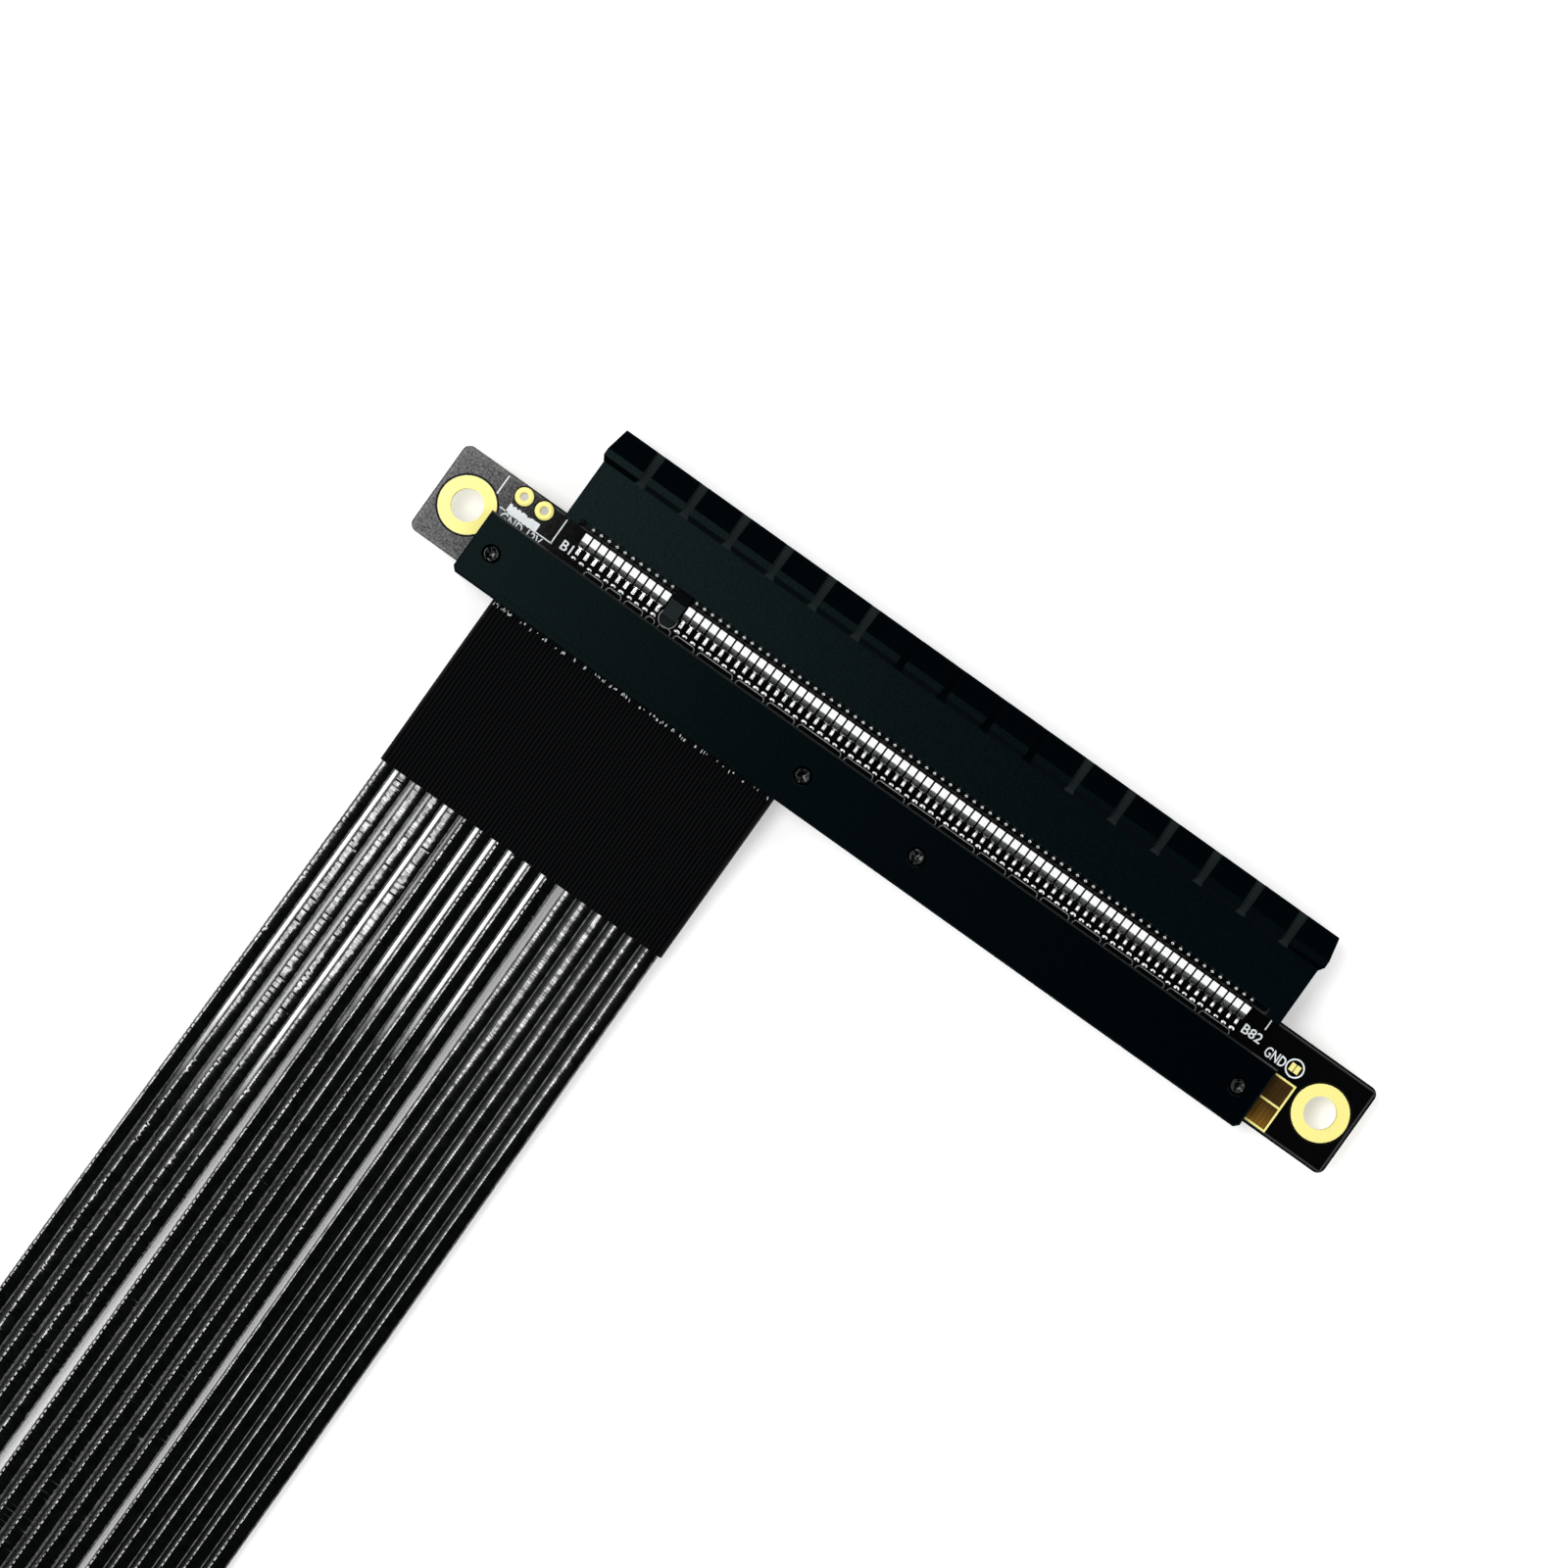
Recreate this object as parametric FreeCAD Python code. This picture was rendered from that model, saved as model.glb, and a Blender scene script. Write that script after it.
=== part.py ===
import FreeCAD
import Part
import math
import os

from FreeCAD import Vector

# A flat cable that carries a x16 card slot away from its host board.
# The socket end lies with its mouth towards +Y and its cable towards -Y.
# X runs along the contact rows from contact 1 to contact 82, and Z is up.
# The origin is under the middle of the socket end, on the surface it lies on.
# All sizes are in millimetres.

# Contact rows: one pitch, with a wider step at the key
contact_pitch = 1.0
contacts_before_key = 11
contacts_after_key = 71
key_step = 3.0
row_shift = -0.22

# Contacts: flat spring strips with a formed foot that lies on the board
contact_width = 0.72
contact_thickness = 0.2
contact_foot_length = 0.9
contact_ramp_length = 0.48
contact_rise = 0.5
contact_shoulder_length = 1.57
contact_tip_setback = 1.8
contact_grip = 0.06

# Socket board
board_length = 115.0
board_depth = 10.6
board_thickness = 1.6
board_corner = 0.9
board_gap = 0.37

# Holes in the socket board, the two mounting holes with plating
plating = 0.05
mount_hole_inset = 3.7
mount_hole_diameter = 3.5
mount_ring_diameter = 6.1
mount_hole_setback = 5.3
power_hole_diameter = 0.9
power_hole_pitch = 2.5
power_hole_inset = 8.0
power_hole_setback = 1.2

# Socket housing
mouth_y = 11.02
housing_length = 89.7
housing_depth = 10.05
housing_thickness = 6.7
housing_rear_wall = 1.8
collar_overhang = 0.4
collar_depth = 3.45
collar_ledge = 0.85
collar_draft_depth = 0.5
notch_count = 16
notch_pitch = 5.38
notch_mouth_width = 0.95
notch_foot_width = 0.72
notch_slope = 0.4

# Card slot in the housing
card_thickness = 1.57
card_margin = 1.1
slot_clearance = 0.14
slot_lip = 1.1
slot_lead_in = 0.6
slot_end_clearance = 0.15
key_rib_width = 1.7
key_rib_setback = 0.8
chamber_thickness = 4.6

# Feet that seat the housing on the board
end_foot_width = 1.65
end_foot_length = 0.81
key_foot_width = 1.75
key_foot_length = 3.2
key_foot_height = 1.2
key_foot_toe_height = 0.4

# Cover: two half shells over the solder joints, staked together by posts
cover_length = 98.8
cover_left_margin = 5.43
cover_depth = 7.4
cover_overhang = 1.02
cover_thickness = 6.0
cover_chamfer = 0.2
cover_corner = 0.5
cover_wall = 1.4
cover_lip = 0.75
cover_lip_step = 0.12
post_diameter = 1.6
post_hole_diameter = 2.0
post_recess = 0.15
post_setback = 3.65
post_end_inset = 2.5
post_mouth_gap = 1.2
post_pitch = 14.3

# Flat pair cables, in two layers and three bunches
cable_width = 1.76
cable_thickness = 1.0
cable_pitch = 2.04
cable_layer_gap = 0.04
cable_floor_gap = 0.02
cable_clearance = 0.1
bunch_counts = (5, 6, 6)
cable_length = 200.0
cable_tail = 3.4

# Route of the cables: straight out of each cover, down a slope, then along the surface below.
# Distances are from the cover.
slope_start = 7.0
slope_end = 28.0
socket_slope_lift = 0.9
plug_slope_lift = 0.6
bunch_starts = (-45.72, -35.6, -22.87)
arc_share = 0.45

# Cloth tape round the cable at each cover
wrap_length = 20.08
wrap_thickness = 0.25

# Plug board with its card edge
plug_board_length = 104.0
plug_shoulder_depth = 14.0
plug_corner = 1.0
tongue_length = 8.9
tongue_bevel = 1.2
tongue_bevel_depth = 0.44
key_notch_width = 1.9
finger_width = 0.7
finger_length = 4.2
finger_setback = 1.35
short_finger_step = 1.0
short_numbers_a = (1,)
short_numbers_b = (17, 31, 48, 81)

# Places that follow from the sizes above
row_length = contact_pitch * (contacts_before_key + contacts_after_key - 2) + key_step
first_contact_x = row_shift - row_length / 2
key_x = first_contact_x + contact_pitch * (contacts_before_key - 1) + key_step / 2
socket_mid_z = housing_thickness / 2 + collar_overhang
plug_mid_z = cover_thickness / 2
housing_rear_y = mouth_y - housing_depth
board_front_y = housing_rear_y - board_gap
board_rear_y = board_front_y - board_depth
cover_rear_y = board_rear_y - cover_overhang
plug_cover_y = cover_rear_y - cable_length
mouth_left_x = bunch_starts[0] - cable_clearance
mouth_right_x = bunch_starts[-1] + (bunch_counts[-1] - 1) * cable_pitch + cable_width + cable_clearance
cover_left_x = mouth_left_x - cover_left_margin
cover_right_x = cover_left_x + cover_length


def box(x_from, x_to, y_from, y_to, z_from, z_to):
    """Block between two corners."""
    size = (x_to - x_from, y_to - y_from, z_to - z_from)
    return Part.makeBox(*size, Vector(x_from, y_from, z_from))


def prism_along_x(outline, x_from, x_to):
    """Closed outline of (y, z) points, drawn out along X."""
    points = [Vector(x_from, y, z) for y, z in outline]
    face = Part.Face(Part.makePolygon(points + points[:1]))
    return face.extrude(Vector(x_to - x_from, 0, 0))


def prism_along_z(outline, z_from, z_to):
    """Closed outline of (x, y) points, drawn out along Z."""
    points = [Vector(x, y, z_from) for x, y in outline]
    face = Part.Face(Part.makePolygon(points + points[:1]))
    return face.extrude(Vector(0, 0, z_to - z_from))


def upright_edges(shape, wanted):
    """Edges along Z whose middle passes the test."""
    found = []
    for edge in shape.Edges:
        start, end = edge.firstVertex().Point, edge.lastVertex().Point
        upright = math.hypot(end.x - start.x, end.y - start.y) < 1e-6
        if upright and wanted(edge.CenterOfMass):
            found.append(edge)
    return found


def mirror_level(shape, mid_z):
    """The same shape on the other side of a level plane."""
    return shape.mirror(Vector(0, 0, mid_z), Vector(0, 0, 1))


def contact_places():
    """X of every contact in a row, from contact 1 on."""
    places = [first_contact_x + contact_pitch * i for i in range(contacts_before_key)]
    after_key = key_x + key_step / 2
    places += [after_key + contact_pitch * i for i in range(contacts_after_key)]
    return places


def slot_parts():
    """The two stretches of the slot, each side of the key rib."""
    reach = card_margin + slot_end_clearance
    left = (first_contact_x - reach, key_x - key_rib_width / 2)
    right = (key_x + key_rib_width / 2, first_contact_x + row_length + reach)
    return left, right


def contact_row_parts():
    """The stretches of the rear wall that the contacts pass through, each side of the key."""
    half = contact_width / 2
    key_half = key_step / 2
    left = (first_contact_x - half, key_x - key_half + half)
    right = (key_x + key_half - half, first_contact_x + row_length + half)
    return left, right


def contact_line():
    """Lower face of an upper contact as (y, z) points: toe, heel, shoulder and spring tip."""
    board_top = socket_mid_z + board_thickness / 2
    shoulder_y = board_front_y - contact_shoulder_length
    heel_y = shoulder_y - contact_ramp_length
    toe_y = heel_y - contact_foot_length
    tip_y = mouth_y - contact_tip_setback
    grip_z = socket_mid_z + card_thickness / 2 - contact_grip
    return [(toe_y, board_top), (heel_y, board_top), (shoulder_y, board_top + contact_rise), (tip_y, grip_z)]


def beam_z(beam, y):
    """Height of a straight line of two (y, z) points at some y."""
    (start_y, start_z), (end_y, end_z) = beam
    return start_z + (y - start_y) / (end_y - start_y) * (end_z - start_z)


def make_collar():
    """Rim round the mouth: a straight ledge, then a drafted lead to the mouth."""
    half_length = housing_length / 2 + collar_overhang
    half_thick = housing_thickness / 2 + collar_overhang
    foot_y = mouth_y - collar_depth
    ledge_y = foot_y + collar_ledge
    ledge = box(-half_length, half_length, foot_y, ledge_y,
                socket_mid_z - half_thick, socket_mid_z + half_thick)

    def rim(y, inset):
        x = half_length - inset
        low = socket_mid_z - half_thick + inset
        high = socket_mid_z + half_thick - inset
        corners = [Vector(-x, y, low), Vector(x, y, low), Vector(x, y, high), Vector(-x, y, high)]
        return Part.makePolygon(corners + corners[:1])

    lead = Part.makeLoft([rim(ledge_y, 0), rim(mouth_y, collar_draft_depth)], True, True)
    return ledge.fuse(lead)


def make_notches():
    """Tapered channels across the collar, with a floor that falls towards the mouth."""
    foot_y = mouth_y - collar_depth
    body_top = socket_mid_z + housing_thickness / 2
    above = body_top + 2 * collar_overhang
    floor = prism_along_x(
        [(foot_y, body_top), (mouth_y, body_top - notch_slope), (mouth_y, above), (foot_y, above)],
        -notch_mouth_width, notch_mouth_width)
    half_foot, half_mouth = notch_foot_width / 2, notch_mouth_width / 2
    plan = prism_along_z(
        [(-half_foot, foot_y), (half_foot, foot_y), (half_mouth, mouth_y), (-half_mouth, mouth_y)],
        body_top - notch_slope, above)
    notch = floor.common(plan)
    first = -notch_pitch * (notch_count - 1) / 2
    upper = [notch.translated(Vector(first + notch_pitch * i, 0, 0)) for i in range(notch_count)]
    return upper + [mirror_level(shape, socket_mid_z) for shape in upper]


def make_slot_cuts():
    """Card slot with its lead-in, the chambers behind its lips and the contact slits."""
    slot_half = card_thickness / 2 + slot_clearance
    slot_floor_y = housing_rear_y + housing_rear_wall
    lip_y = mouth_y - slot_lip
    cuts = []
    for x_from, x_to in slot_parts():
        cuts.append(box(x_from, x_to, slot_floor_y, mouth_y,
                        socket_mid_z - slot_half, socket_mid_z + slot_half))
        cuts.append(box(x_from, x_to, slot_floor_y, lip_y,
                        socket_mid_z - chamber_thickness / 2, socket_mid_z + chamber_thickness / 2))
    (x_from, _), (_, x_to) = slot_parts()
    cuts.append(box(x_from, x_to, mouth_y - key_rib_setback, mouth_y,
                    socket_mid_z - slot_half, socket_mid_z + slot_half))
    cuts.append(prism_along_x(
        [(mouth_y - slot_lead_in, socket_mid_z - slot_half),
         (mouth_y, socket_mid_z - slot_half - slot_lead_in),
         (mouth_y, socket_mid_z + slot_half + slot_lead_in),
         (mouth_y - slot_lead_in, socket_mid_z + slot_half)], x_from, x_to))
    beam = contact_line()[2:]
    seat = [(y, beam_z(beam, y)) for y in (housing_rear_y, slot_floor_y)]
    back = [(beam[0][0], beam[0][1] + contact_thickness), beam[1]]
    seat += [(y, beam_z(back, y)) for y in (slot_floor_y, housing_rear_y)]
    for x_from, x_to in contact_row_parts():
        slit = prism_along_x(seat, x_from, x_to)
        cuts += [slit, mirror_level(slit, socket_mid_z)]
    return cuts


def make_feet():
    """Feet at both ends and beside the key, above and below the board."""
    board_top = socket_mid_z + board_thickness / 2
    body_top = socket_mid_z + housing_thickness / 2
    half_length = housing_length / 2
    end_y = housing_rear_y - end_foot_length
    upper = [
        box(-half_length, -half_length + end_foot_width, end_y, housing_rear_y, board_top, body_top),
        box(half_length - end_foot_width, half_length, end_y, housing_rear_y, board_top, body_top),
        box(key_x - key_foot_width / 2, key_x + key_foot_width / 2,
            housing_rear_y - key_foot_length, housing_rear_y, board_top, board_top + key_foot_height),
    ]
    toe_centre = Vector(key_x, housing_rear_y - key_foot_length, board_top)
    upper.append(Part.makeCylinder(key_foot_width / 2, key_foot_toe_height, toe_centre))
    return upper + [mirror_level(shape, socket_mid_z) for shape in upper]


def make_housing():
    """Moulded socket that grips the card edge and straddles the board."""
    half_length, half_thick = housing_length / 2, housing_thickness / 2
    body = box(-half_length, half_length, housing_rear_y, mouth_y - collar_depth,
               socket_mid_z - half_thick, socket_mid_z + half_thick)
    shape = body.fuse([make_collar()] + make_feet())
    shape = shape.cut(make_notches() + make_slot_cuts())
    return shape.removeSplitter()


def make_contact_row():
    """Upper row of contacts: foot on the board, ramp, shoulder and spring beam, coined thin at both ends."""
    line = contact_line()
    back = [(y, z + contact_thickness) for y, z in reversed(line[1:-1])]
    half = contact_width / 2
    contact = prism_along_x(line + back, -half, half)
    return Part.makeCompound([contact.translated(Vector(x, 0, 0)) for x in contact_places()])


def mount_hole_places():
    """Centres of the two mounting holes."""
    x = board_length / 2 - mount_hole_inset
    y = board_front_y - mount_hole_setback
    return [(-x, y), (x, y)]


def power_hole_places():
    """Centres of the two power holes, at the contact 1 end of the board."""
    y = board_front_y - power_hole_setback
    first = -board_length / 2 + power_hole_inset
    return [(first, y), (first + power_hole_pitch, y)]


def post_places():
    """Centres of the posts that stake the socket cover together."""
    y = cover_rear_y + post_setback
    beside_mouth = mouth_right_x + post_mouth_gap
    places = [cover_left_x + post_end_inset, beside_mouth, beside_mouth + post_pitch,
              cover_right_x - post_end_inset]
    return [(x, y) for x in places]


def drill(shape, places, diameter, z_from, z_to):
    """Holes straight down through a shape."""
    holes = [Part.makeCylinder(diameter / 2, z_to - z_from, Vector(x, y, z_from)) for x, y in places]
    return shape.cut(holes)


def make_socket_board():
    """Socket board with rounded corners and its drilled holes."""
    low, high = socket_mid_z - board_thickness / 2, socket_mid_z + board_thickness / 2
    half = board_length / 2
    board = box(-half, half, board_rear_y, board_front_y, low, high)
    board = board.makeFillet(board_corner, upright_edges(board, lambda point: True))
    board = drill(board, mount_hole_places(), mount_hole_diameter + 2 * plating, low, high)
    board = drill(board, power_hole_places(), power_hole_diameter, low, high)
    return drill(board, post_places(), post_hole_diameter, low, high)


def make_plating():
    """Plated mounting holes: a thin barrel through the board and a ring on each face, thin at its rim."""
    hole, ring = mount_hole_diameter / 2, mount_ring_diameter / 2
    low, high = -board_thickness / 2, board_thickness / 2
    outline = [(hole, low - plating), (ring, low), (hole + plating, low),
               (hole + plating, high), (ring, high), (hole, high + plating)]
    points = [Vector(radius, 0, socket_mid_z + z) for radius, z in outline]
    face = Part.Face(Part.makePolygon(points + points[:1]))
    eyelet = face.revolve(Vector(0, 0, 0), Vector(0, 0, 1), 360)
    return Part.makeCompound([eyelet.translated(Vector(x, y, 0)) for x, y in mount_hole_places()])


def make_cover_shell(rear_y, outward, mid_z, carrier_thickness):
    """Upper half of a cover; its lip hangs past the board's edge on the cable side.

    outward is +1 where that side faces +Y and -1 where it faces -Y.
    """
    seat = mid_z + carrier_thickness / 2 + plating
    top = mid_z + cover_thickness / 2
    front_y = rear_y - outward * cover_depth
    edge_y = rear_y - outward * (cover_overhang - plating)
    shell = prism_along_x(
        [(front_y, seat), (front_y, top), (rear_y, top), (rear_y, mid_z), (edge_y, mid_z), (edge_y, seat)],
        cover_left_x, cover_right_x)
    corners = upright_edges(shell, lambda point: abs(point.y - rear_y) < 1e-6)
    shell = shell.makeChamfer(cover_corner, corners)
    rim = [edge for edge in shell.Edges
           if abs(edge.BoundBox.ZMin - top) < 1e-6 and abs(edge.BoundBox.ZMax - top) < 1e-6]
    shell = shell.makeChamfer(cover_chamfer, rim)
    inner_y = front_y + outward * cover_wall
    pocket_top = mid_z + carrier_thickness / 2 + cable_thickness + cable_clearance
    pocket = box(mouth_left_x, mouth_right_x, min(inner_y, rear_y), max(inner_y, rear_y), mid_z, pocket_top)
    lip_y = rear_y - outward * cover_lip
    step = box(mouth_left_x, mouth_right_x, min(lip_y, rear_y), max(lip_y, rear_y), top - cover_lip_step, top)
    return shell.cut([pocket, step])


def make_socket_cover_top():
    """Upper half at the socket, with the holes that the posts come up through."""
    shell = make_cover_shell(cover_rear_y, -1, socket_mid_z, board_thickness)
    return drill(shell, post_places(), post_hole_diameter, socket_mid_z, socket_mid_z + cover_thickness / 2)


def make_socket_cover_bottom():
    """Lower half at the socket, with its posts."""
    shell = mirror_level(make_cover_shell(cover_rear_y, -1, socket_mid_z, board_thickness), socket_mid_z)
    floor_z = socket_mid_z - board_thickness / 2 - plating
    height = socket_mid_z + cover_thickness / 2 - post_recess - floor_z
    posts = [Part.makeCylinder(post_diameter / 2, height, Vector(x, y, floor_z)) for x, y in post_places()]
    return shell.fuse(posts)


def route_stations():
    """Y of every point on the cables' route, from the socket's solder joints to the plug's."""
    distances = (-cable_tail, slope_start, slope_end)
    ahead = [cover_rear_y - distance for distance in distances]
    behind = [plug_cover_y + distance for distance in reversed(distances)]
    return ahead + [(cover_rear_y + plug_cover_y) / 2] + behind


def route_heights(upper):
    """Z of every point on the route of the upper or the lower layer."""
    side = 1 if upper else -1
    rest_z = cable_floor_gap + cable_thickness / 2
    if upper:
        rest_z += cable_thickness + cable_layer_gap
    socket_z = socket_mid_z + side * (board_thickness + cable_thickness) / 2
    plug_z = plug_mid_z + side * (card_thickness + cable_thickness) / 2
    return [socket_z, socket_z, rest_z + socket_slope_lift, rest_z,
            rest_z + plug_slope_lift, plug_z, plug_z]


def rounded_path(points):
    """Straight runs joined by tangent arcs, each over most of the half runs beside its corner."""
    edges = []
    radii = []
    start = points[0]
    for before, corner, after in zip(points, points[1:], points[2:]):
        incoming, outgoing = corner - before, after - corner
        turn = incoming.getAngle(outgoing)
        reach = arc_share * min(incoming.Length, outgoing.Length)
        radius = reach / math.tan(turn / 2)
        incoming.normalize()
        outgoing.normalize()
        inward = outgoing - incoming
        inward.normalize()
        arc_start = corner - incoming * reach
        arc_middle = corner + inward * radius * (1 / math.cos(turn / 2) - 1)
        arc_end = corner + outgoing * reach
        edges.append(Part.LineSegment(start, arc_start).toShape())
        edges.append(Part.Arc(arc_start, arc_middle, arc_end).toShape())
        radii.append(radius)
        start = arc_end
    edges.append(Part.LineSegment(start, points[-1]).toShape())
    return Part.Wire(edges), radii


def make_cable(points):
    """One flat pair cable: a rectangle that stays level across as it follows the route."""
    path, radii = rounded_path(points)
    half_width, half_thick = cable_width / 2, cable_thickness / 2
    corners = [points[0] + Vector(x, 0, z) for x, z in (
        (-half_width, -half_thick), (half_width, -half_thick),
        (half_width, half_thick), (-half_width, half_thick))]
    sweep = Part.BRepOffsetAPI.MakePipeShell(path)
    sweep.setBiNormalMode(Vector(1, 0, 0))
    sweep.add(Part.makePolygon(corners + corners[:1]), False, False)
    sweep.build()
    sweep.makeSolid()
    cable = sweep.shape()
    share = cable.Volume / (cable_width * cable_thickness * path.Length)
    print("radii", [round(radius) for radius in radii], f"length {path.Length:.1f} volume share {share:.4f}")
    return cable


def make_layer(upper):
    """One layer of flat pair cables, first to last."""
    points = [Vector(0, y, z) for y, z in zip(route_stations(), route_heights(upper))]
    cable = make_cable(points)
    cables = []
    for start_x, count in zip(bunch_starts, bunch_counts):
        centres = [start_x + cable_width / 2 + cable_pitch * i for i in range(count)]
        cables += [cable.translated(Vector(x, 0, 0)) for x in centres]
    return cables


def make_wrap(rear_y, outward, stations):
    """Tape round both layers, tapering as they close up; stations run from the cover outwards."""
    upper = dict(zip(route_stations(), route_heights(True)))
    lower = dict(zip(route_stations(), route_heights(False)))
    end_y = rear_y + outward * wrap_length

    def height(route, y):
        for near, far in zip(stations, stations[1:]):
            if min(near, far) <= y <= max(near, far):
                share = (y - near) / (far - near)
                return route[near] + share * (route[far] - route[near])

    half = cable_thickness / 2 + cable_clearance
    bends = [y for y in stations if min(rear_y, end_y) < y < max(rear_y, end_y)]
    places = [rear_y] + bends + [end_y]

    def section(margin):
        top = [(y, height(upper, y) + half + margin) for y in places]
        bottom = [(y, height(lower, y) - half - margin) for y in reversed(places)]
        return top + bottom

    outside = prism_along_x(section(wrap_thickness), mouth_left_x - wrap_thickness,
                            mouth_right_x + wrap_thickness)
    return outside.cut(prism_along_x(section(0), mouth_left_x, mouth_right_x))


def make_plug_board():
    """Card edge board: shoulders, keyed tongue and bevelled leading edge."""
    low, high = plug_mid_z - card_thickness / 2, plug_mid_z + card_thickness / 2
    near_y = plug_cover_y - cover_overhang
    shoulder_y = near_y - plug_shoulder_depth
    edge_y = shoulder_y - tongue_length
    left, right = row_shift - plug_board_length / 2, row_shift + plug_board_length / 2
    shoulders = box(left, right, shoulder_y, near_y, low, high)
    shoulders = shoulders.makeChamfer(plug_corner, upright_edges(shoulders, lambda point: True))
    tongue = box(first_contact_x - card_margin, first_contact_x + row_length + card_margin,
                 edge_y, shoulder_y, low, high)
    board = shoulders.fuse(tongue)
    key_half = key_notch_width / 2
    notch_top = shoulder_y - key_half
    notch = box(key_x - key_half, key_x + key_half, edge_y, notch_top, low, high)
    notch = notch.fuse(Part.makeCylinder(key_half, high - low, Vector(key_x, notch_top, low)))
    bevel = prism_along_x(
        [(edge_y, high - tongue_bevel_depth), (edge_y + tongue_bevel, high), (edge_y, high)], left, right)
    board = board.cut([notch, bevel, mirror_level(bevel, plug_mid_z)])
    return board.removeSplitter()


def make_fingers(short_numbers):
    """Upper row of gold fingers; the short ones mate last."""
    top = plug_mid_z + card_thickness / 2
    near_y = plug_cover_y - cover_overhang
    tip_y = near_y - plug_shoulder_depth - tongue_length + finger_setback
    half = finger_width / 2
    fingers = []
    for number, x in enumerate(contact_places(), 1):
        start_y = tip_y + (short_finger_step if number in short_numbers else 0)
        fingers.append(box(x - half, x + half, start_y, tip_y + finger_length, top, top + plating))
    return Part.makeCompound(fingers)


def make_parts():
    """Every piece of the assembly by name."""
    contacts = make_contact_row()
    stations = route_stations()
    plug_cover = make_cover_shell(plug_cover_y, 1, plug_mid_z, card_thickness)
    parts = {
        "socket_housing": make_housing(),
        "socket_contacts_row_b": contacts,
        "socket_contacts_row_a": mirror_level(contacts, socket_mid_z),
        "socket_board": make_socket_board(),
        "mounting_hole_plating": make_plating(),
        "socket_cover_top": make_socket_cover_top(),
        "socket_cover_bottom": make_socket_cover_bottom(),
        "wrap_socket_end": make_wrap(cover_rear_y, -1, stations),
        "wrap_plug_end": make_wrap(plug_cover_y, 1, stations[::-1]),
        "plug_board": make_plug_board(),
        "plug_fingers_b": make_fingers(short_numbers_b),
        "plug_fingers_a": mirror_level(make_fingers(short_numbers_a), plug_mid_z),
        "plug_cover_top": plug_cover,
        "plug_cover_bottom": mirror_level(plug_cover, plug_mid_z),
    }
    for letter, upper in (("b", True), ("a", False)):
        for number, cable in enumerate(make_layer(upper), 1):
            parts[f"pair_cable_{letter}{number:02d}"] = cable
    return parts


os.makedirs("parts", exist_ok=True)
for name, shape in make_parts().items():
    shape.exportStep(f"parts/{name}.step")
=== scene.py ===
import math
import random

import bmesh
import bpy
from mathutils import Matrix, Vector


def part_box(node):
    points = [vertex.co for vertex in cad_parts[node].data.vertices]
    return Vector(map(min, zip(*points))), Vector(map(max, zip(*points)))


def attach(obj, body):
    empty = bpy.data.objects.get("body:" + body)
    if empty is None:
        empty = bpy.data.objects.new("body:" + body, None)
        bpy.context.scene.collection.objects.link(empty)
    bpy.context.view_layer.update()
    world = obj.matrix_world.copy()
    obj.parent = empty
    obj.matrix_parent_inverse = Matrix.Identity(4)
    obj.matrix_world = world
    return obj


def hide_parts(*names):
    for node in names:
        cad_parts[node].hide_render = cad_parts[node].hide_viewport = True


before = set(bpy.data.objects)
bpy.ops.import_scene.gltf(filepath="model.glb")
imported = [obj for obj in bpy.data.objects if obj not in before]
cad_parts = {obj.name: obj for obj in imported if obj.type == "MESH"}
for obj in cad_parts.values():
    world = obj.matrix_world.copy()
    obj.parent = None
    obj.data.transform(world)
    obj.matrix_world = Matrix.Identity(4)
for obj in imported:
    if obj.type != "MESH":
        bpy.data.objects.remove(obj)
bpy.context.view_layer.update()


# Socket housing: the long black block that takes the card's edge.
# It is injection moulded in one piece from glass filled nylon and straddles the board with its feet.
# The mould rounds its edges, leaves a fine grain on it and cross lines on the floors of the outer notches.
MM = 0.001
CLOSE = 0.01 * MM
MERGE_DISTANCE = 0.002 * MM
# In degrees: up to where triangles join, from where a moulding's edge is rounded and any edge is drawn sharp
FLAT_ANGLE, ROUNDED_ANGLE, SHARP_ANGLE = 0.5, 30, 35
HOUSING_LEVELS = (0.4 * MM, 7.1 * MM)
HOUSING_EDGE = 0.07 * MM
HOUSING_GRAIN, HOUSING_GRAIN_DEPTH = 0.24 * MM, 0.03 * MM
NOTCH_LINE = 0.3 * MM
NOTCH_COUNT = 16
NOTCH_PITCH = 5.38 * MM
NOTCH_HALF_WIDTH = 0.5 * MM
COLLAR_FOOT_Y = 7.57 * MM
COLLAR_SLOPE = 0.5 * MM
COLLAR_SLOPE_INSET = 0.25 * MM
KEY_FOOT_X, KEY_FOOT_HALF_WIDTH = -30.22 * MM, 1 * MM
KEY_FOOT_STEP_Y = -0.28 * MM
KEY_FOOT_ROOT_Y = 1 * MM
LINED_FROM_X = 11 * MM
# Which of the housing's materials a face takes, apart from the first
LINED_LIT, POLISHED_SHADE = 1, 2


def linear(code):
    """A colour's sRGB hex value as linear red, green, blue and alpha."""
    parts = [int(code[i:i + 2], 16) / 255 for i in (1, 3, 5)]
    return (*[p / 12.92 if p <= 0.04045 else ((p + 0.055) / 1.055) ** 2.4 for p in parts], 1.0)


def empty_material(name):
    """A material that has no nodes yet."""
    material = bpy.data.materials.new(name)
    material.use_nodes = True
    material.node_tree.nodes.clear()
    return material


def add_node(owner, kind, inputs, **settings):
    """Adds a node with its settings; an input takes a value, or the socket or the node that feeds it."""
    node = owner.node_tree.nodes.new(kind)
    for name, value in settings.items():
        setattr(node, name, value)
    for name, value in inputs.items():
        if isinstance(value, bpy.types.Node):
            value = value.outputs[0]
        if isinstance(value, bpy.types.NodeSocket):
            owner.node_tree.links.new(value, node.inputs[name])
        else:
            node.inputs[name].default_value = value
    return node


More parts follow.
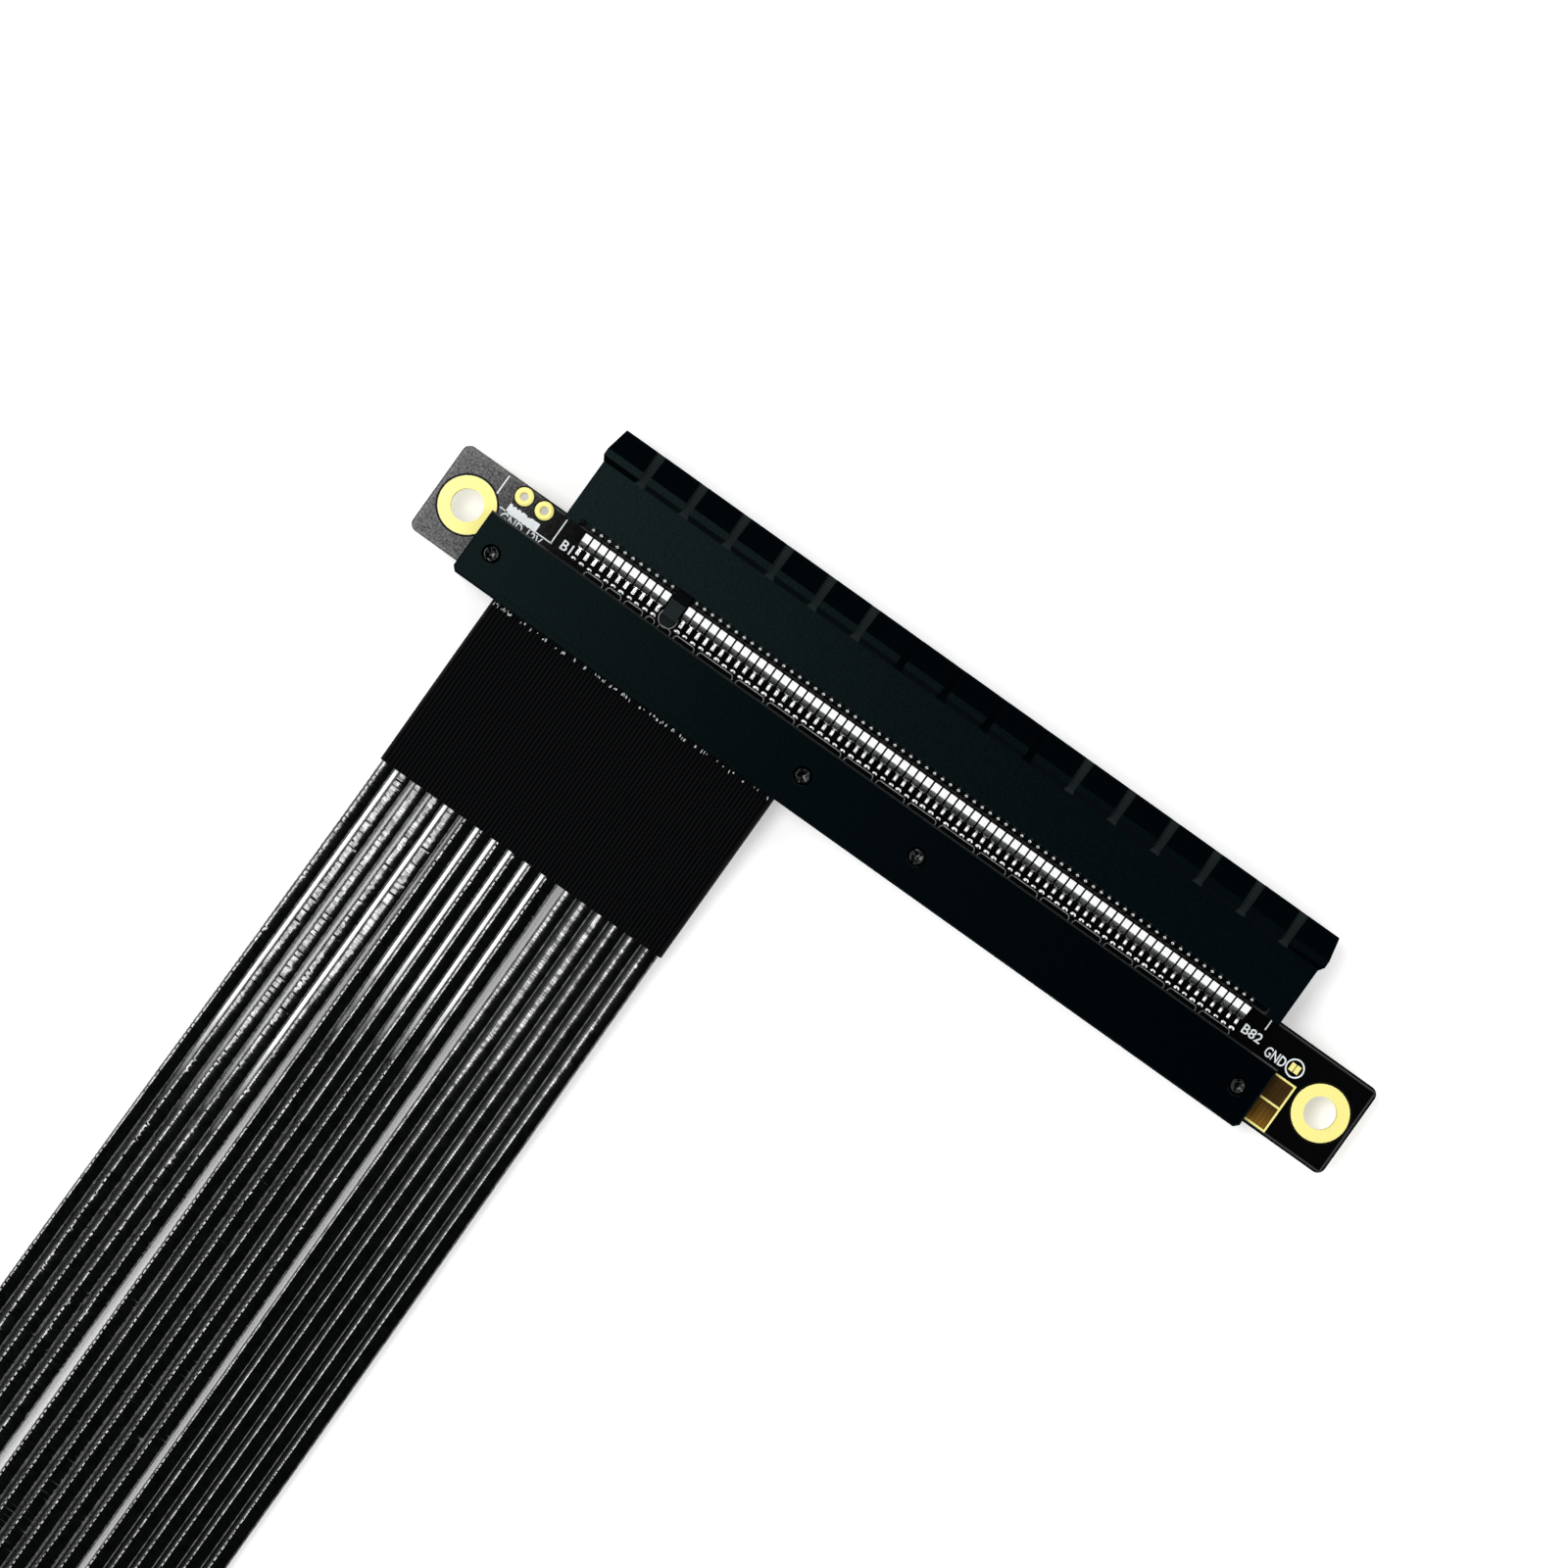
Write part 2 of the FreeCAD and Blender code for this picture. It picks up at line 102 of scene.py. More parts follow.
def make_material(name, look, *details, **options):
    """A material with one surface; its look is that surface's inputs, or a function that draws them."""
    material = empty_material(name)
    if callable(look):
        place = add_node(material, "ShaderNodeTexCoord", {}).outputs["Object"]
        look = look(material, place, *details, **options)
    surface = add_node(material, "ShaderNodeBsdfPrincipled", look)
    add_node(material, "ShaderNodeOutputMaterial", {"Surface": surface})
    return material


def add_object(name, data):
    """An object in the scene that shows a mesh, curve, lamp or camera."""
    holder = bpy.data.objects.new(name, data)
    bpy.context.scene.collection.objects.link(holder)
    return holder


def add_piece(bm, name, slot, *materials, sharp=SHARP_ANGLE):
    """Makes the piece that a finished bmesh describes, and lets it ride on the object."""
    mesh = bpy.data.meshes.new(name)
    bm.to_mesh(mesh)
    bm.free()
    for material in materials:
        mesh.materials.append(material)
    mesh.shade_smooth()
    mesh.set_sharp_from_angle(angle=math.radians(sharp))
    piece = add_object(name, mesh)
    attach(piece, "root")
    return piece


def merged_copy(node):
    """A CAD node's mesh with its loose triangles joined into flat faces."""
    bm = bmesh.new()
    bm.from_mesh(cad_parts[node].data)
    bmesh.ops.remove_doubles(bm, verts=bm.verts, dist=MERGE_DISTANCE)
    bmesh.ops.dissolve_limit(bm, angle_limit=math.radians(FLAT_ANGLE), verts=bm.verts, edges=bm.edges)
    return bm


def soften_edges(bm, width):
    """Rounds the sharp edges of a moulding."""
    sharp = [edge for edge in bm.edges
             if edge.is_manifold and edge.calc_face_angle() > math.radians(ROUNDED_ANGLE)]
    bmesh.ops.bevel(bm, geom=sharp, offset=width, offset_type="OFFSET", segments=2, profile=0.5,
                    affect="EDGES", clamp_overlap=True, material=-1)


def from_notch(x):
    """How far to the right of the nearest notch's middle a place lies."""
    return (x + NOTCH_PITCH * NOTCH_COUNT / 2) % NOTCH_PITCH - NOTCH_PITCH / 2


def on_key_foot(face, end_y):
    """Whether a face lies on top of the key's foot, in front of its end."""
    middle = face.calc_center_median()
    return face.normal.z > 0.9 and middle.y < end_y and abs(middle.x - KEY_FOOT_X) < KEY_FOOT_HALF_WIDTH


def draw_two_shades(material, place, pattern, dark, light, inputs, kind="ShaderNodeTexNoise", contrast=None,
                    relief=None, **settings):
    """A colour, and a relief if there is one, that follow a pattern of a real size."""
    share = add_node(material, kind, {"Vector": place, **pattern}, **settings).outputs["Fac"]
    if relief:
        strength, depth = relief
        bump = add_node(material, "ShaderNodeBump", {"Height": share, "Strength": strength, "Distance": depth})
        inputs = {**inputs, "Normal": bump}
    if contrast:
        share = add_node(material, "ShaderNodeMapRange", {
            "Value": share, "From Min": contrast[0], "From Max": contrast[1]})
    colour = add_node(material, "ShaderNodeMix", {
        "Factor": share, 6: linear(dark), 7: linear(light)}, data_type="RGBA")
    return {"Base Color": colour.outputs[2], **inputs}


# Moulded nylon: nearly black, matt, with a fine sparkle of fibre at the surface
housing_nylon = make_material(
    "housing_nylon", draw_two_shades, {"Scale": 1 / HOUSING_GRAIN, "Detail": 4.0, "Roughness": 0.7},
    "#000306", "#03080B", {"Roughness": 0.26, "Specular IOR Level": 0.055, "Specular Tint": linear("#C8F8F4")},
    contrast=(0.35, 0.7), relief=(0.5, HOUSING_GRAIN_DEPTH))
# The same nylon with the cutter's cross lines; its greyer colour is painted light on notch floors and key foot
lit_notch_nylon = make_material(
    "lit_notch_nylon", draw_two_shades, {"Scale": math.pi / 10 / NOTCH_LINE, "Distortion": 1.5, "Detail": 2.0},
    "#0F1516", "#1E2526", {"Roughness": 0.6, "Specular IOR Level": 0.06},
    kind="ShaderNodeTexWave", wave_type="BANDS", bands_direction="Y")
# The same nylon where the mould is polished to let the collar go: smooth, so it stays black
# Its black on the collar's foot slope, drafted faces and the key foot by the wall is painted shade
polished_shade_nylon = make_material("polished_shade_nylon", {
    "Base Color": linear("#010406"), "Roughness": 0.2, "Specular IOR Level": 0.02})

housing_shape = merged_copy("socket_housing")
for vert in housing_shape.verts:
    at_foot = abs(vert.co.y - COLLAR_FOOT_Y) < CLOSE
    if at_foot and min(abs(vert.co.z - level) for level in HOUSING_LEVELS) < CLOSE:
        beside = from_notch(vert.co.x)
        if abs(beside) < NOTCH_HALF_WIDTH:
            vert.co.x += math.copysign(COLLAR_SLOPE_INSET, beside)
        vert.co.y -= COLLAR_SLOPE
soften_edges(housing_shape, HOUSING_EDGE)
# The key foot's top is split where the painted light in front meets the painted shade by the wall
key_foot = [face for face in housing_shape.faces if on_key_foot(face, 0)]
key_edges = list({edge for face in key_foot for edge in face.edges})
key_verts = list({vert for face in key_foot for vert in face.verts})
bmesh.ops.bisect_plane(housing_shape, geom=key_foot + key_edges + key_verts,
                       plane_co=(0, KEY_FOOT_STEP_Y, 0), plane_no=(0, 1, 0))
# Outer notch floors and the front of the key foot take the greyer nylon, as painted light
for face in housing_shape.faces:
    middle, facing = face.calc_center_median(), face.normal
    in_notch = abs(from_notch(middle.x)) < NOTCH_HALF_WIDTH and abs(middle.x) < NOTCH_PITCH * NOTCH_COUNT / 2
    if in_notch and middle.y > COLLAR_FOOT_Y and abs(facing.z) > 0.5:
        face.material_index = LINED_LIT if abs(middle.x) > LINED_FROM_X else POLISHED_SHADE
    elif middle.y > COLLAR_FOOT_Y - COLLAR_SLOPE and abs(facing.y) > 0.12:
        face.material_index = POLISHED_SHADE
    elif on_key_foot(face, KEY_FOOT_ROOT_Y):
        face.material_index = LINED_LIT if middle.y < KEY_FOOT_STEP_Y else POLISHED_SHADE
housing = add_piece(housing_shape, "housing_moulding", "socket_plastic", housing_nylon, lit_notch_nylon,
                    polished_shade_nylon, sharp=0)
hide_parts("socket_housing")


# Comb walls: thin ribs inside the socket that keep its contacts apart, and the seat of the board's edge.
# They are moulded with the housing in the same nylon and stand behind the lips of the slot.
COMB_WALL = (0.24 * MM, 6.9 * MM, 1.36 * MM)
COMB_WALL_EDGE = 0.04 * MM
COMB_WALL_Y = 6.3 * MM
COMB_WALL_HEIGHT = 1.62 * MM
SEAT_SIZE = (86.2 * MM, 0.42 * MM, 1.5 * MM)
SEAT_Y = 0.79 * MM
SOCKET_MIDDLE_Z = 3.75 * MM
CONTACT_PITCH = 1.0 * MM
FIRST_CONTACT_X, AFTER_KEY_X = -41.72 * MM, -28.72 * MM
BEFORE_KEY_COUNT, AFTER_KEY_COUNT = 11, 71
contact_places = [FIRST_CONTACT_X + CONTACT_PITCH * i for i in range(BEFORE_KEY_COUNT)]
contact_places += [AFTER_KEY_X + CONTACT_PITCH * i for i in range(AFTER_KEY_COUNT)]


def copy_to(bm, places):
    """Copies all that a bmesh holds to each place, and drops the first."""
    first = bm.verts[:] + bm.edges[:] + bm.faces[:]
    for place in places:
        made = bmesh.ops.duplicate(bm, geom=first)["geom"]
        verts = [part for part in made if isinstance(part, bmesh.types.BMVert)]
        bmesh.ops.translate(bm, verts=verts, vec=place)
    bmesh.ops.delete(bm, geom=[part for part in first if isinstance(part, bmesh.types.BMVert)], context="VERTS")


comb_shape = bmesh.new()
bmesh.ops.create_cube(comb_shape, size=1, matrix=Matrix.Diagonal((*COMB_WALL, 1)))
bmesh.ops.bevel(comb_shape, geom=comb_shape.edges[:], offset=COMB_WALL_EDGE, offset_type="OFFSET", segments=1,
                profile=0.5, affect="EDGES", material=-1)
walled = contact_places[:BEFORE_KEY_COUNT - 1] + contact_places[BEFORE_KEY_COUNT:-1]
copy_to(comb_shape, [(x + CONTACT_PITCH / 2, COMB_WALL_Y, SOCKET_MIDDLE_Z + side * COMB_WALL_HEIGHT)
                     for x in walled for side in (1, -1)])
seat = bmesh.ops.create_cube(comb_shape, size=1, matrix=Matrix.Diagonal((*SEAT_SIZE, 1)))["verts"]
bmesh.ops.translate(comb_shape, verts=seat, vec=(0, SEAT_Y, SOCKET_MIDDLE_Z))
add_piece(comb_shape, "comb_walls", "socket_plastic", housing_nylon)


# Contacts: 82 spring strips in each row, stamped from phosphor bronze and tinned.
# Each is pressed through the rear wall; outside, a wide shoulder drops to a narrow foot on the board.
CONTACT_THICKNESS = 0.18 * MM
CONTACT_SHARP_ANGLE = 8
TIN_MOTTLE = 0.5 * MM
DIMPLE_Y, DIMPLE_Z = 0.73 * MM, 5.05 * MM
DIMPLE_STEPS = 10
# Half of the dimple's rim, seen from the side: radius and height, in millimetres
DIMPLE_LINE = ((0.04, 0.0), (0.11, 0.03), (0.18, 0.0))
# Where a contact's neck runs in under the wall; it is drawn dark there as painted shade
NECK_FROM_Y, NECK_TO_Y = 0.15 * MM, 1.2 * MM
# Upper face of a contact of the upper row: y, height over the board and half width, in millimetres
CONTACT_STATIONS = (
    (-2.38, 0.04, 0.14), (-2.32, 0.1, 0.165), (-1.74, 0.1, 0.165), (-1.68, 0.1, 0.12), (-1.56, 0.1, 0.12),
    (-1.52, 0.1, 0.4), (-0.84, 0.54, 0.4), (0.02, 0.87, 0.4), (0.05, 0.84, 0.39), (0.12, 0.74, 0.36),
    (0.18, 0.58, 0.16), (1.0, 0.46, 0.16), (2.8, 0.42, 0.3), (7.4, 0.06, 0.28), (8.2, 0.0, 0.26),
    (8.7, 0.07, 0.24), (9.2, 0.26, 0.2))
board_low, board_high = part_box("socket_board")
BOARD_TOP = board_high.z


def draw_contact_tin(material, place):
    """Tin plating: a pale, slightly clouded metal that spreads the light of the softbox."""
    mottle = add_node(material, "ShaderNodeTexNoise", {"Vector": place, "Scale": 1 / TIN_MOTTLE, "Detail": 3.0})
    dullness = add_node(material, "ShaderNodeMapRange", {"Value": mottle, "To Min": 0.14, "To Max": 0.28})
    return {"Base Color": linear("#E6E7E7"), "Metallic": 1.0, "Roughness": dullness}


def spin_line(bm, profile, steps, closed=True):
    """Spins a line of radius and height about the upright axis, and returns the points of the new shape."""
    before = set(bm.verts)
    line = [bm.verts.new((radius, 0, height)) for radius, height in profile]
    edges = [bm.edges.new(pair) for pair in zip(line, line[1:] + line[:1] if closed else line[1:])]
    bmesh.ops.spin(bm, geom=line + edges, axis=(0, 0, 1), cent=(0, 0, 0), steps=steps, angle=math.tau,
                   use_merge=True)
    spun = [vert for vert in bm.verts if vert not in before]
    bmesh.ops.recalc_face_normals(bm, faces=list({face for vert in spun for face in vert.link_faces}))
    return spun


def turn_below(bm, mid_z):
    """Turns a shape over to the other side of a level plane."""
    bmesh.ops.scale(bm, verts=bm.verts, vec=(1, 1, -1), space=Matrix.Translation((0, 0, -mid_z)))
    bmesh.ops.reverse_faces(bm, faces=bm.faces)


def make_contact_row(upper):
    """One row of contacts, each with a small dimple that stiffens it in front of the wall."""
    bm = bmesh.new()
    line = [bm.verts.new((-half * MM, y * MM, BOARD_TOP + z * MM)) for y, z, half in CONTACT_STATIONS]
    edges = [bm.edges.new(pair) for pair in zip(line, line[1:])]
    made = bmesh.ops.extrude_edge_only(bm, edges=edges)["geom"]
    for vert in [part for part in made if isinstance(part, bmesh.types.BMVert)]:
        vert.co.x *= -1
    bmesh.ops.recalc_face_normals(bm, faces=bm.faces)
    if sum(face.normal.z for face in bm.faces) < 0:
        bmesh.ops.reverse_faces(bm, faces=bm.faces)
    bmesh.ops.solidify(bm, geom=bm.faces[:], thickness=CONTACT_THICKNESS)
    for face in bm.faces:
        face.material_index = 1 if NECK_FROM_Y < face.calc_center_median().y < NECK_TO_Y else 0
    dimple = spin_line(bm, [(radius * MM, z * MM) for radius, z in DIMPLE_LINE], DIMPLE_STEPS)
    bmesh.ops.translate(bm, verts=dimple, vec=(0, DIMPLE_Y, DIMPLE_Z))
    copy_to(bm, [(x, 0, 0) for x in contact_places])
    if not upper:
        turn_below(bm, SOCKET_MIDDLE_Z)
    return bm


contact_tin = make_material("contact_tin", draw_contact_tin)
# A duller, darker metal on each contact's neck where it runs in under the wall: its dark colour is painted
# shade
neck_shade_bronze = make_material("neck_shade_bronze", {
    "Base Color": linear("#2A2927"), "Metallic": 1.0, "Roughness": 0.35})
for letter in "ba":
    contacts = add_piece(make_contact_row(letter == "b"), f"contacts_{letter}", "contact_tin", contact_tin,
                         neck_shade_bronze, sharp=CONTACT_SHARP_ANGLE)
    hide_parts(f"socket_contacts_row_{letter}")


# Socket board: a small circuit board of glass cloth laminate that the housing straddles.
# Black solder mask is printed over its copper and cured to a gloss; it ends just inside the milled edges.
MASK_MOTTLE, MASK_MOTTLE_DEPTH = 0.35 * MM, 0.003 * MM
MASK_SPECKLE = 0.2 * MM
# Where the pale line along the mask's step lies and how wide it is: that line is a painted highlight
MASK_INSET = 0.3 * MM
MASK_LINE = 0.1 * MM


def draw_solder_mask(material, place, low, high, bevel):
    """Gloss black mask: dimpled, so it mirrors the softbox unevenly; brown laminate shows on milled edges."""
    middle = (low + high) / 2
    centred = add_node(material, "ShaderNodeVectorMath", {0: place, 1: middle}, operation="SUBTRACT")
    apart = add_node(material, "ShaderNodeVectorMath", {0: centred}, operation="ABSOLUTE")
    insets = add_node(material, "ShaderNodeVectorMath", {0: high - middle, 1: apart}, operation="SUBTRACT")
    axes = add_node(material, "ShaderNodeSeparateXYZ", {"Vector": insets})
    inside = add_node(material, "ShaderNodeMath", {
        0: axes.outputs["X"], 1: axes.outputs["Y"]}, operation="MINIMUM")
    # A pale line painted where the mask steps over the copper's edge, as a painted highlight
    step_highlight_line = add_node(material, "ShaderNodeMath", {
        0: inside, 1: MASK_INSET, 2: MASK_LINE}, operation="COMPARE")
    step = add_node(material, "ShaderNodeMapRange", {
        "Value": inside, "From Min": MASK_INSET - MASK_LINE, "From Max": MASK_INSET + MASK_LINE})
    mottle = add_node(material, "ShaderNodeTexNoise", {
        "Vector": place, "Scale": 1 / MASK_MOTTLE, "Detail": 4.0, "Roughness": 0.65})
    height = add_node(material, "ShaderNodeMath", {0: mottle, 1: step}, operation="ADD")
    relief = add_node(material, "ShaderNodeBump", {
        "Height": height, "Strength": 0.5, "Distance": MASK_MOTTLE_DEPTH})
    masked = add_node(material, "ShaderNodeMix", {
        "Factor": step_highlight_line, 6: linear("#050506"), 7: linear("#343535")}, data_type="RGBA")
    faces = add_node(material, "ShaderNodeNewGeometry", {})
    facing = add_node(material, "ShaderNodeSeparateXYZ", {"Vector": faces.outputs["True Normal"]})
    milled = add_node(material, "ShaderNodeMath", {0: facing.outputs["Z"], 1: 0.0, 2: 0.5}, operation="COMPARE")
    spot = add_node(material, "ShaderNodeSeparateXYZ", {"Vector": place})
    ground = add_node(material, "ShaderNodeMath", {
        0: spot.outputs["Y"], 1: low.y + bevel}, operation="LESS_THAN")
    bare = add_node(material, "ShaderNodeMath", {0: milled, 1: ground}, operation="MAXIMUM")
    colour = add_node(material, "ShaderNodeMix", {
        "Factor": bare, 6: masked.outputs[2], 7: linear("#4A3C20")}, data_type="RGBA")
    speckle = add_node(material, "ShaderNodeTexNoise", {
        "Vector": place, "Scale": 1 / MASK_SPECKLE, "Detail": 2.0})
    sheen = add_node(material, "ShaderNodeMapRange", {
        "Value": speckle, "From Min": 0.3, "From Max": 0.7, "To Min": 0.08, "To Max": 0.32})
    return {"Base Color": colour.outputs[2], "Roughness": 0.06, "Specular IOR Level": sheen, "Normal": relief}


def dress(node, material):
    """Gives a CAD node its material."""
    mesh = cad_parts[node].data
    mesh.materials.clear()
    mesh.materials.append(material)


dress("socket_board", make_material("solder_mask", draw_solder_mask, board_low, board_high, 0))


# Plated holes: two large ones for the mounting screws, which the CAD gives, and two small ones for power.
# Gold over nickel lines each hole and spreads as a ring on both faces of the board.
GOLD_GRAIN, GOLD_GRAIN_DEPTH = 0.2 * MM, 0.01 * MM
POWER_PLACES = (-49.5 * MM, -47.0 * MM)
POWER_Y = -0.6 * MM
EYELET_STEPS = 32
# Half of a power hole's eyelet, seen from the side: radius and height over the board, in millimetres
EYELET_LINE = (
    (0.42, -0.8), (0.42, 0.0), (0.5, 0.07), (0.64, 0.1), (0.82, 0.08), (0.95, 0.03), (1.0, 0.0), (0.6, -0.8))


def add_underside(bm, mid_z):
    """Adds the same shape on the other side of a level plane."""
    upper = bpy.data.meshes.new("upper_side")
    bm.to_mesh(upper)
    turn_below(bm, mid_z)
    bm.from_mesh(upper)
    bpy.data.meshes.remove(upper)


# Immersion gold: pale yellow, with the fine tooth of the copper below it
plating_gold = make_material(
    "plating_gold", draw_two_shades, {"Scale": 1 / GOLD_GRAIN, "Detail": 3.0}, "#EADF7E", "#F4EC9A",
    {"Metallic": 0.2, "Roughness": 0.45, "Specular IOR Level": 0.15}, relief=(0.3, GOLD_GRAIN_DEPTH))
dress("mounting_hole_plating", plating_gold)

eyelet_shape = bmesh.new()
spin_line(eyelet_shape, [(radius * MM, BOARD_TOP + z * MM) for radius, z in EYELET_LINE], EYELET_STEPS)
add_underside(eyelet_shape, SOCKET_MIDDLE_Z)
copy_to(eyelet_shape, [(x, POWER_Y, 0) for x in POWER_PLACES])
add_piece(eyelet_shape, "power_eyelets", "gold_plating", plating_gold)


# Solder joints: a fillet over every contact's foot and a drop at its toe, on the end of its copper pad.
# The tin solder is reflowed, so it draws up into bright low cones, and no two are quite alike.
FOOT_TOP = 0.1 * MM
FILLET_Y, FILLET_RADIUS, FILLET_STRETCH = -2.04 * MM, 0.165 * MM, (0, 0.12 * MM)
DROP_Y, DROP_RADIUS, DROP_STRETCH = -2.84 * MM, 0.2 * MM, (0.1 * MM, 0)
DROP_STRAY = 0.05 * MM
# The least and the greatest share of its radius that a fillet or a drop takes
FILLET_SHARES, DROP_SHARES = (0.85, 1.0), (0.8, 1.15)
CONE_SIDES, CONE_HEIGHT, CONE_TIP = 8, 0.4, 0.12


def add_fillet(bm, centre, radius, stretch):
    """A low cone of solder that is drawn out sideways or along the foot."""
    cone = bmesh.ops.create_cone(bm, cap_ends=True, segments=CONE_SIDES, radius1=radius,
                                 radius2=CONE_TIP * radius, depth=CONE_HEIGHT * radius)["verts"]
    bmesh.ops.rotate(bm, verts=cone, cent=(0, 0, 0), matrix=Matrix.Rotation(math.pi / CONE_SIDES, 3, "Z"))
    for vert in cone:
        vert.co.x += math.copysign(stretch[0], vert.co.x)
        vert.co.y += math.copysign(stretch[1], vert.co.y)
    bmesh.ops.translate(bm, verts=cone, vec=centre + Vector((0, 0, CONE_HEIGHT / 2 * radius)))


chance = random.Random(7)
solder_shape = bmesh.new()
for x in contact_places:
    foot = Vector((x, FILLET_Y, BOARD_TOP + FOOT_TOP))
    add_fillet(solder_shape, foot, FILLET_RADIUS * chance.uniform(*FILLET_SHARES), FILLET_STRETCH)
    toe_x = x + chance.uniform(-DROP_STRAY, DROP_STRAY)
    toe_y = DROP_Y + chance.uniform(-DROP_STRAY, DROP_STRAY)
    add_fillet(solder_shape, Vector((toe_x, toe_y, BOARD_TOP)), DROP_RADIUS * chance.uniform(*DROP_SHARES),
               DROP_STRETCH)
add_underside(solder_shape, SOCKET_MIDDLE_Z)
add_piece(solder_shape, "solder_joints", "contact_tin", contact_tin)


# Legend: white lines and pin names that are screen printed on the board in epoxy ink.
# Only the plain pin names are printed here, and the cover hides the lower half of two of them.
INK_THICKNESS = 0.02 * MM
INK_LINE = 0.13 * MM
INK_SPREAD = 0.02 * MM
INK_CLOUD = 0.3 * MM
# Lines of the legend: from x, y to x, y, in millimetres
LEGEND_LINES = (
    (-52.0, 0.2, -52.0, -1.9), (-50.9, -2.9, -44.5, -2.9), (-44.55, -0.05, -44.55, -2.87),
    (44.2, 0.1, 44.2, -0.95))
# Pin names: text, left and right end x, base line y and letter height, in millimetres
LEGEND_NAMES = (
    ("B1", -43.58, -42.33, -2.8, 1.06), ("GND 12V", -50.45, -45.4, -4.05, 1.0),
    ("B82", 42.22, 44.53, -2.61, 1.03), ("GND", 45.45, 47.9, -3.19, 1.1))
# A capital letter's height as a share of the font's size
CAPITAL_SHARE = 0.7
PAD_X, PAD_Y = 49.0 * MM, -2.48 * MM
PAD_CIRCLE_RADIUS, PAD_CIRCLE_LINE = 0.95 * MM, 0.16 * MM
RING_STEPS = 40
# A blot of ink, put down in short strokes that overlap and lie one over the other
BLOT_LEFT, BLOT_RIGHT = -50.1 * MM, -46.4 * MM
BLOT_BOTTOM, BLOT_TOP = -2.83 * MM, -2.15 * MM
BLOT_STROKES, BLOT_OVERLAP, BLOT_LAYER = 14, 1.2, 0.002 * MM
# How far the strokes' lower and upper ends stray, in millimetres
BLOT_STRAYS = ((-0.02, 0.06), (-0.16, 0.04))


def add_bar(bm, start, end, width, thickness, z=BOARD_TOP):
    """A flat bar from one point to another on the board."""
    start, end = Vector(start), Vector(end)
    run = end - start
    bar = bmesh.ops.create_cube(bm, size=1)["verts"]
    bmesh.ops.scale(bm, verts=bar, vec=(run.length + width, width, thickness))
    bmesh.ops.rotate(bm, verts=bar, cent=(0, 0, 0), matrix=Matrix.Rotation(math.atan2(run.y, run.x), 3, "Z"))
    bmesh.ops.translate(bm, verts=bar, vec=(*((start + end) / 2), z + thickness / 2))


def add_ring(bm, centre, radius, width, thickness, steps=RING_STEPS):
    """A flat ring on the board."""
    inner, outer = radius - width / 2, radius + width / 2
    ring = spin_line(bm, ((inner, 0), (inner, thickness), (outer, thickness), (outer, 0)), steps)
    bmesh.ops.translate(bm, verts=ring, vec=(*centre, BOARD_TOP))


def mesh_of(curve):
    """The mesh that a curve or a text makes, which is then dropped."""
    holder = add_object(curve.name, curve)
    mesh = bpy.data.meshes.new_from_object(holder)
    bpy.data.objects.remove(holder)
    bpy.data.curves.remove(curve)
    return mesh


def add_lettering(bm, text, left, right, base, height):
    """A line of printed text with its base line on the board."""
    font = bpy.data.curves.new("lettering", "FONT")
    font.body = text
    font.size = height / CAPITAL_SHARE
    font.extrude = INK_THICKNESS / 2
    font.resolution_u = 3
    font.offset = INK_SPREAD
    mesh = mesh_of(font)
    ends = [vert.co.x for vert in mesh.vertices]
    fit = Matrix.Diagonal(((right - left) / (max(ends) - min(ends)), 1, 1, 1))
    place = Matrix.Translation((left, base, BOARD_TOP + INK_THICKNESS / 2))
    mesh.transform(place @ fit @ Matrix.Translation((-min(ends), 0, 0)))
    bm.from_mesh(mesh)
    bpy.data.meshes.remove(mesh)


# Screened epoxy ink: a slightly bluish white, thinner here and there
legend_ink = make_material(
    "legend_ink", draw_two_shades, {"Scale": 1 / INK_CLOUD, "Detail": 3.0}, "#C9D2D4", "#F4F8F8",
    {"Roughness": 0.6})
legend_shape = bmesh.new()
for x_from, y_from, x_to, y_to in LEGEND_LINES:
    add_bar(legend_shape, (x_from * MM, y_from * MM), (x_to * MM, y_to * MM), INK_LINE, INK_THICKNESS)
add_ring(legend_shape, (PAD_X, PAD_Y), PAD_CIRCLE_RADIUS, PAD_CIRCLE_LINE, INK_THICKNESS)
for text, left, right, base, height in LEGEND_NAMES:
    add_lettering(legend_shape, text, left * MM, right * MM, base * MM, height * MM)
stroke = (BLOT_RIGHT - BLOT_LEFT) / BLOT_STROKES
for i in range(BLOT_STROKES):
    left = BLOT_LEFT + stroke * i
    bottom, top = [end + chance.uniform(*stray) * MM
                   for end, stray in zip((BLOT_BOTTOM, BLOT_TOP), BLOT_STRAYS)]
    add_bar(legend_shape, (left, bottom), (left, top), stroke * BLOT_OVERLAP, INK_THICKNESS,
            BOARD_TOP + BLOT_LAYER * i)
add_piece(legend_shape, "legend_print", "board_black", legend_ink)


# Copper under the mask: the ground traces that bracket each pair of contacts and run in under the cover.
# They are etched copper, so the mask stands up over them; the light on each edge is painted on as a pale line.
TRACE_WIDTH = 0.1 * MM
TRACE_HEIGHT = 0.03 * MM
TRACE_TOP_Y, TRACE_END_Y = -3.12 * MM, -3.7 * MM
TRACE_CORNER = 0.22 * MM
TRACE_GAP = 0.26 * MM
TRACE_PATCH = 0.6 * MM
KEY_TOE_Y, KEY_TOE_RADIUS = -2.24 * MM, 1.0 * MM
# Where one bracket ends and the next begins, in millimetres
TRACE_BOUNDS = (
    -40.2, -37.4, -35.1, -32.4, -30.9, -28.9, -25.9, -21.05, -17.1, -13.25, -7.4, -3.35, 0.65, 4.6, 9.45, 13.4,
    17.4, 21.4, 25.4, 29.4, 33.4, 37.4, 41.6)
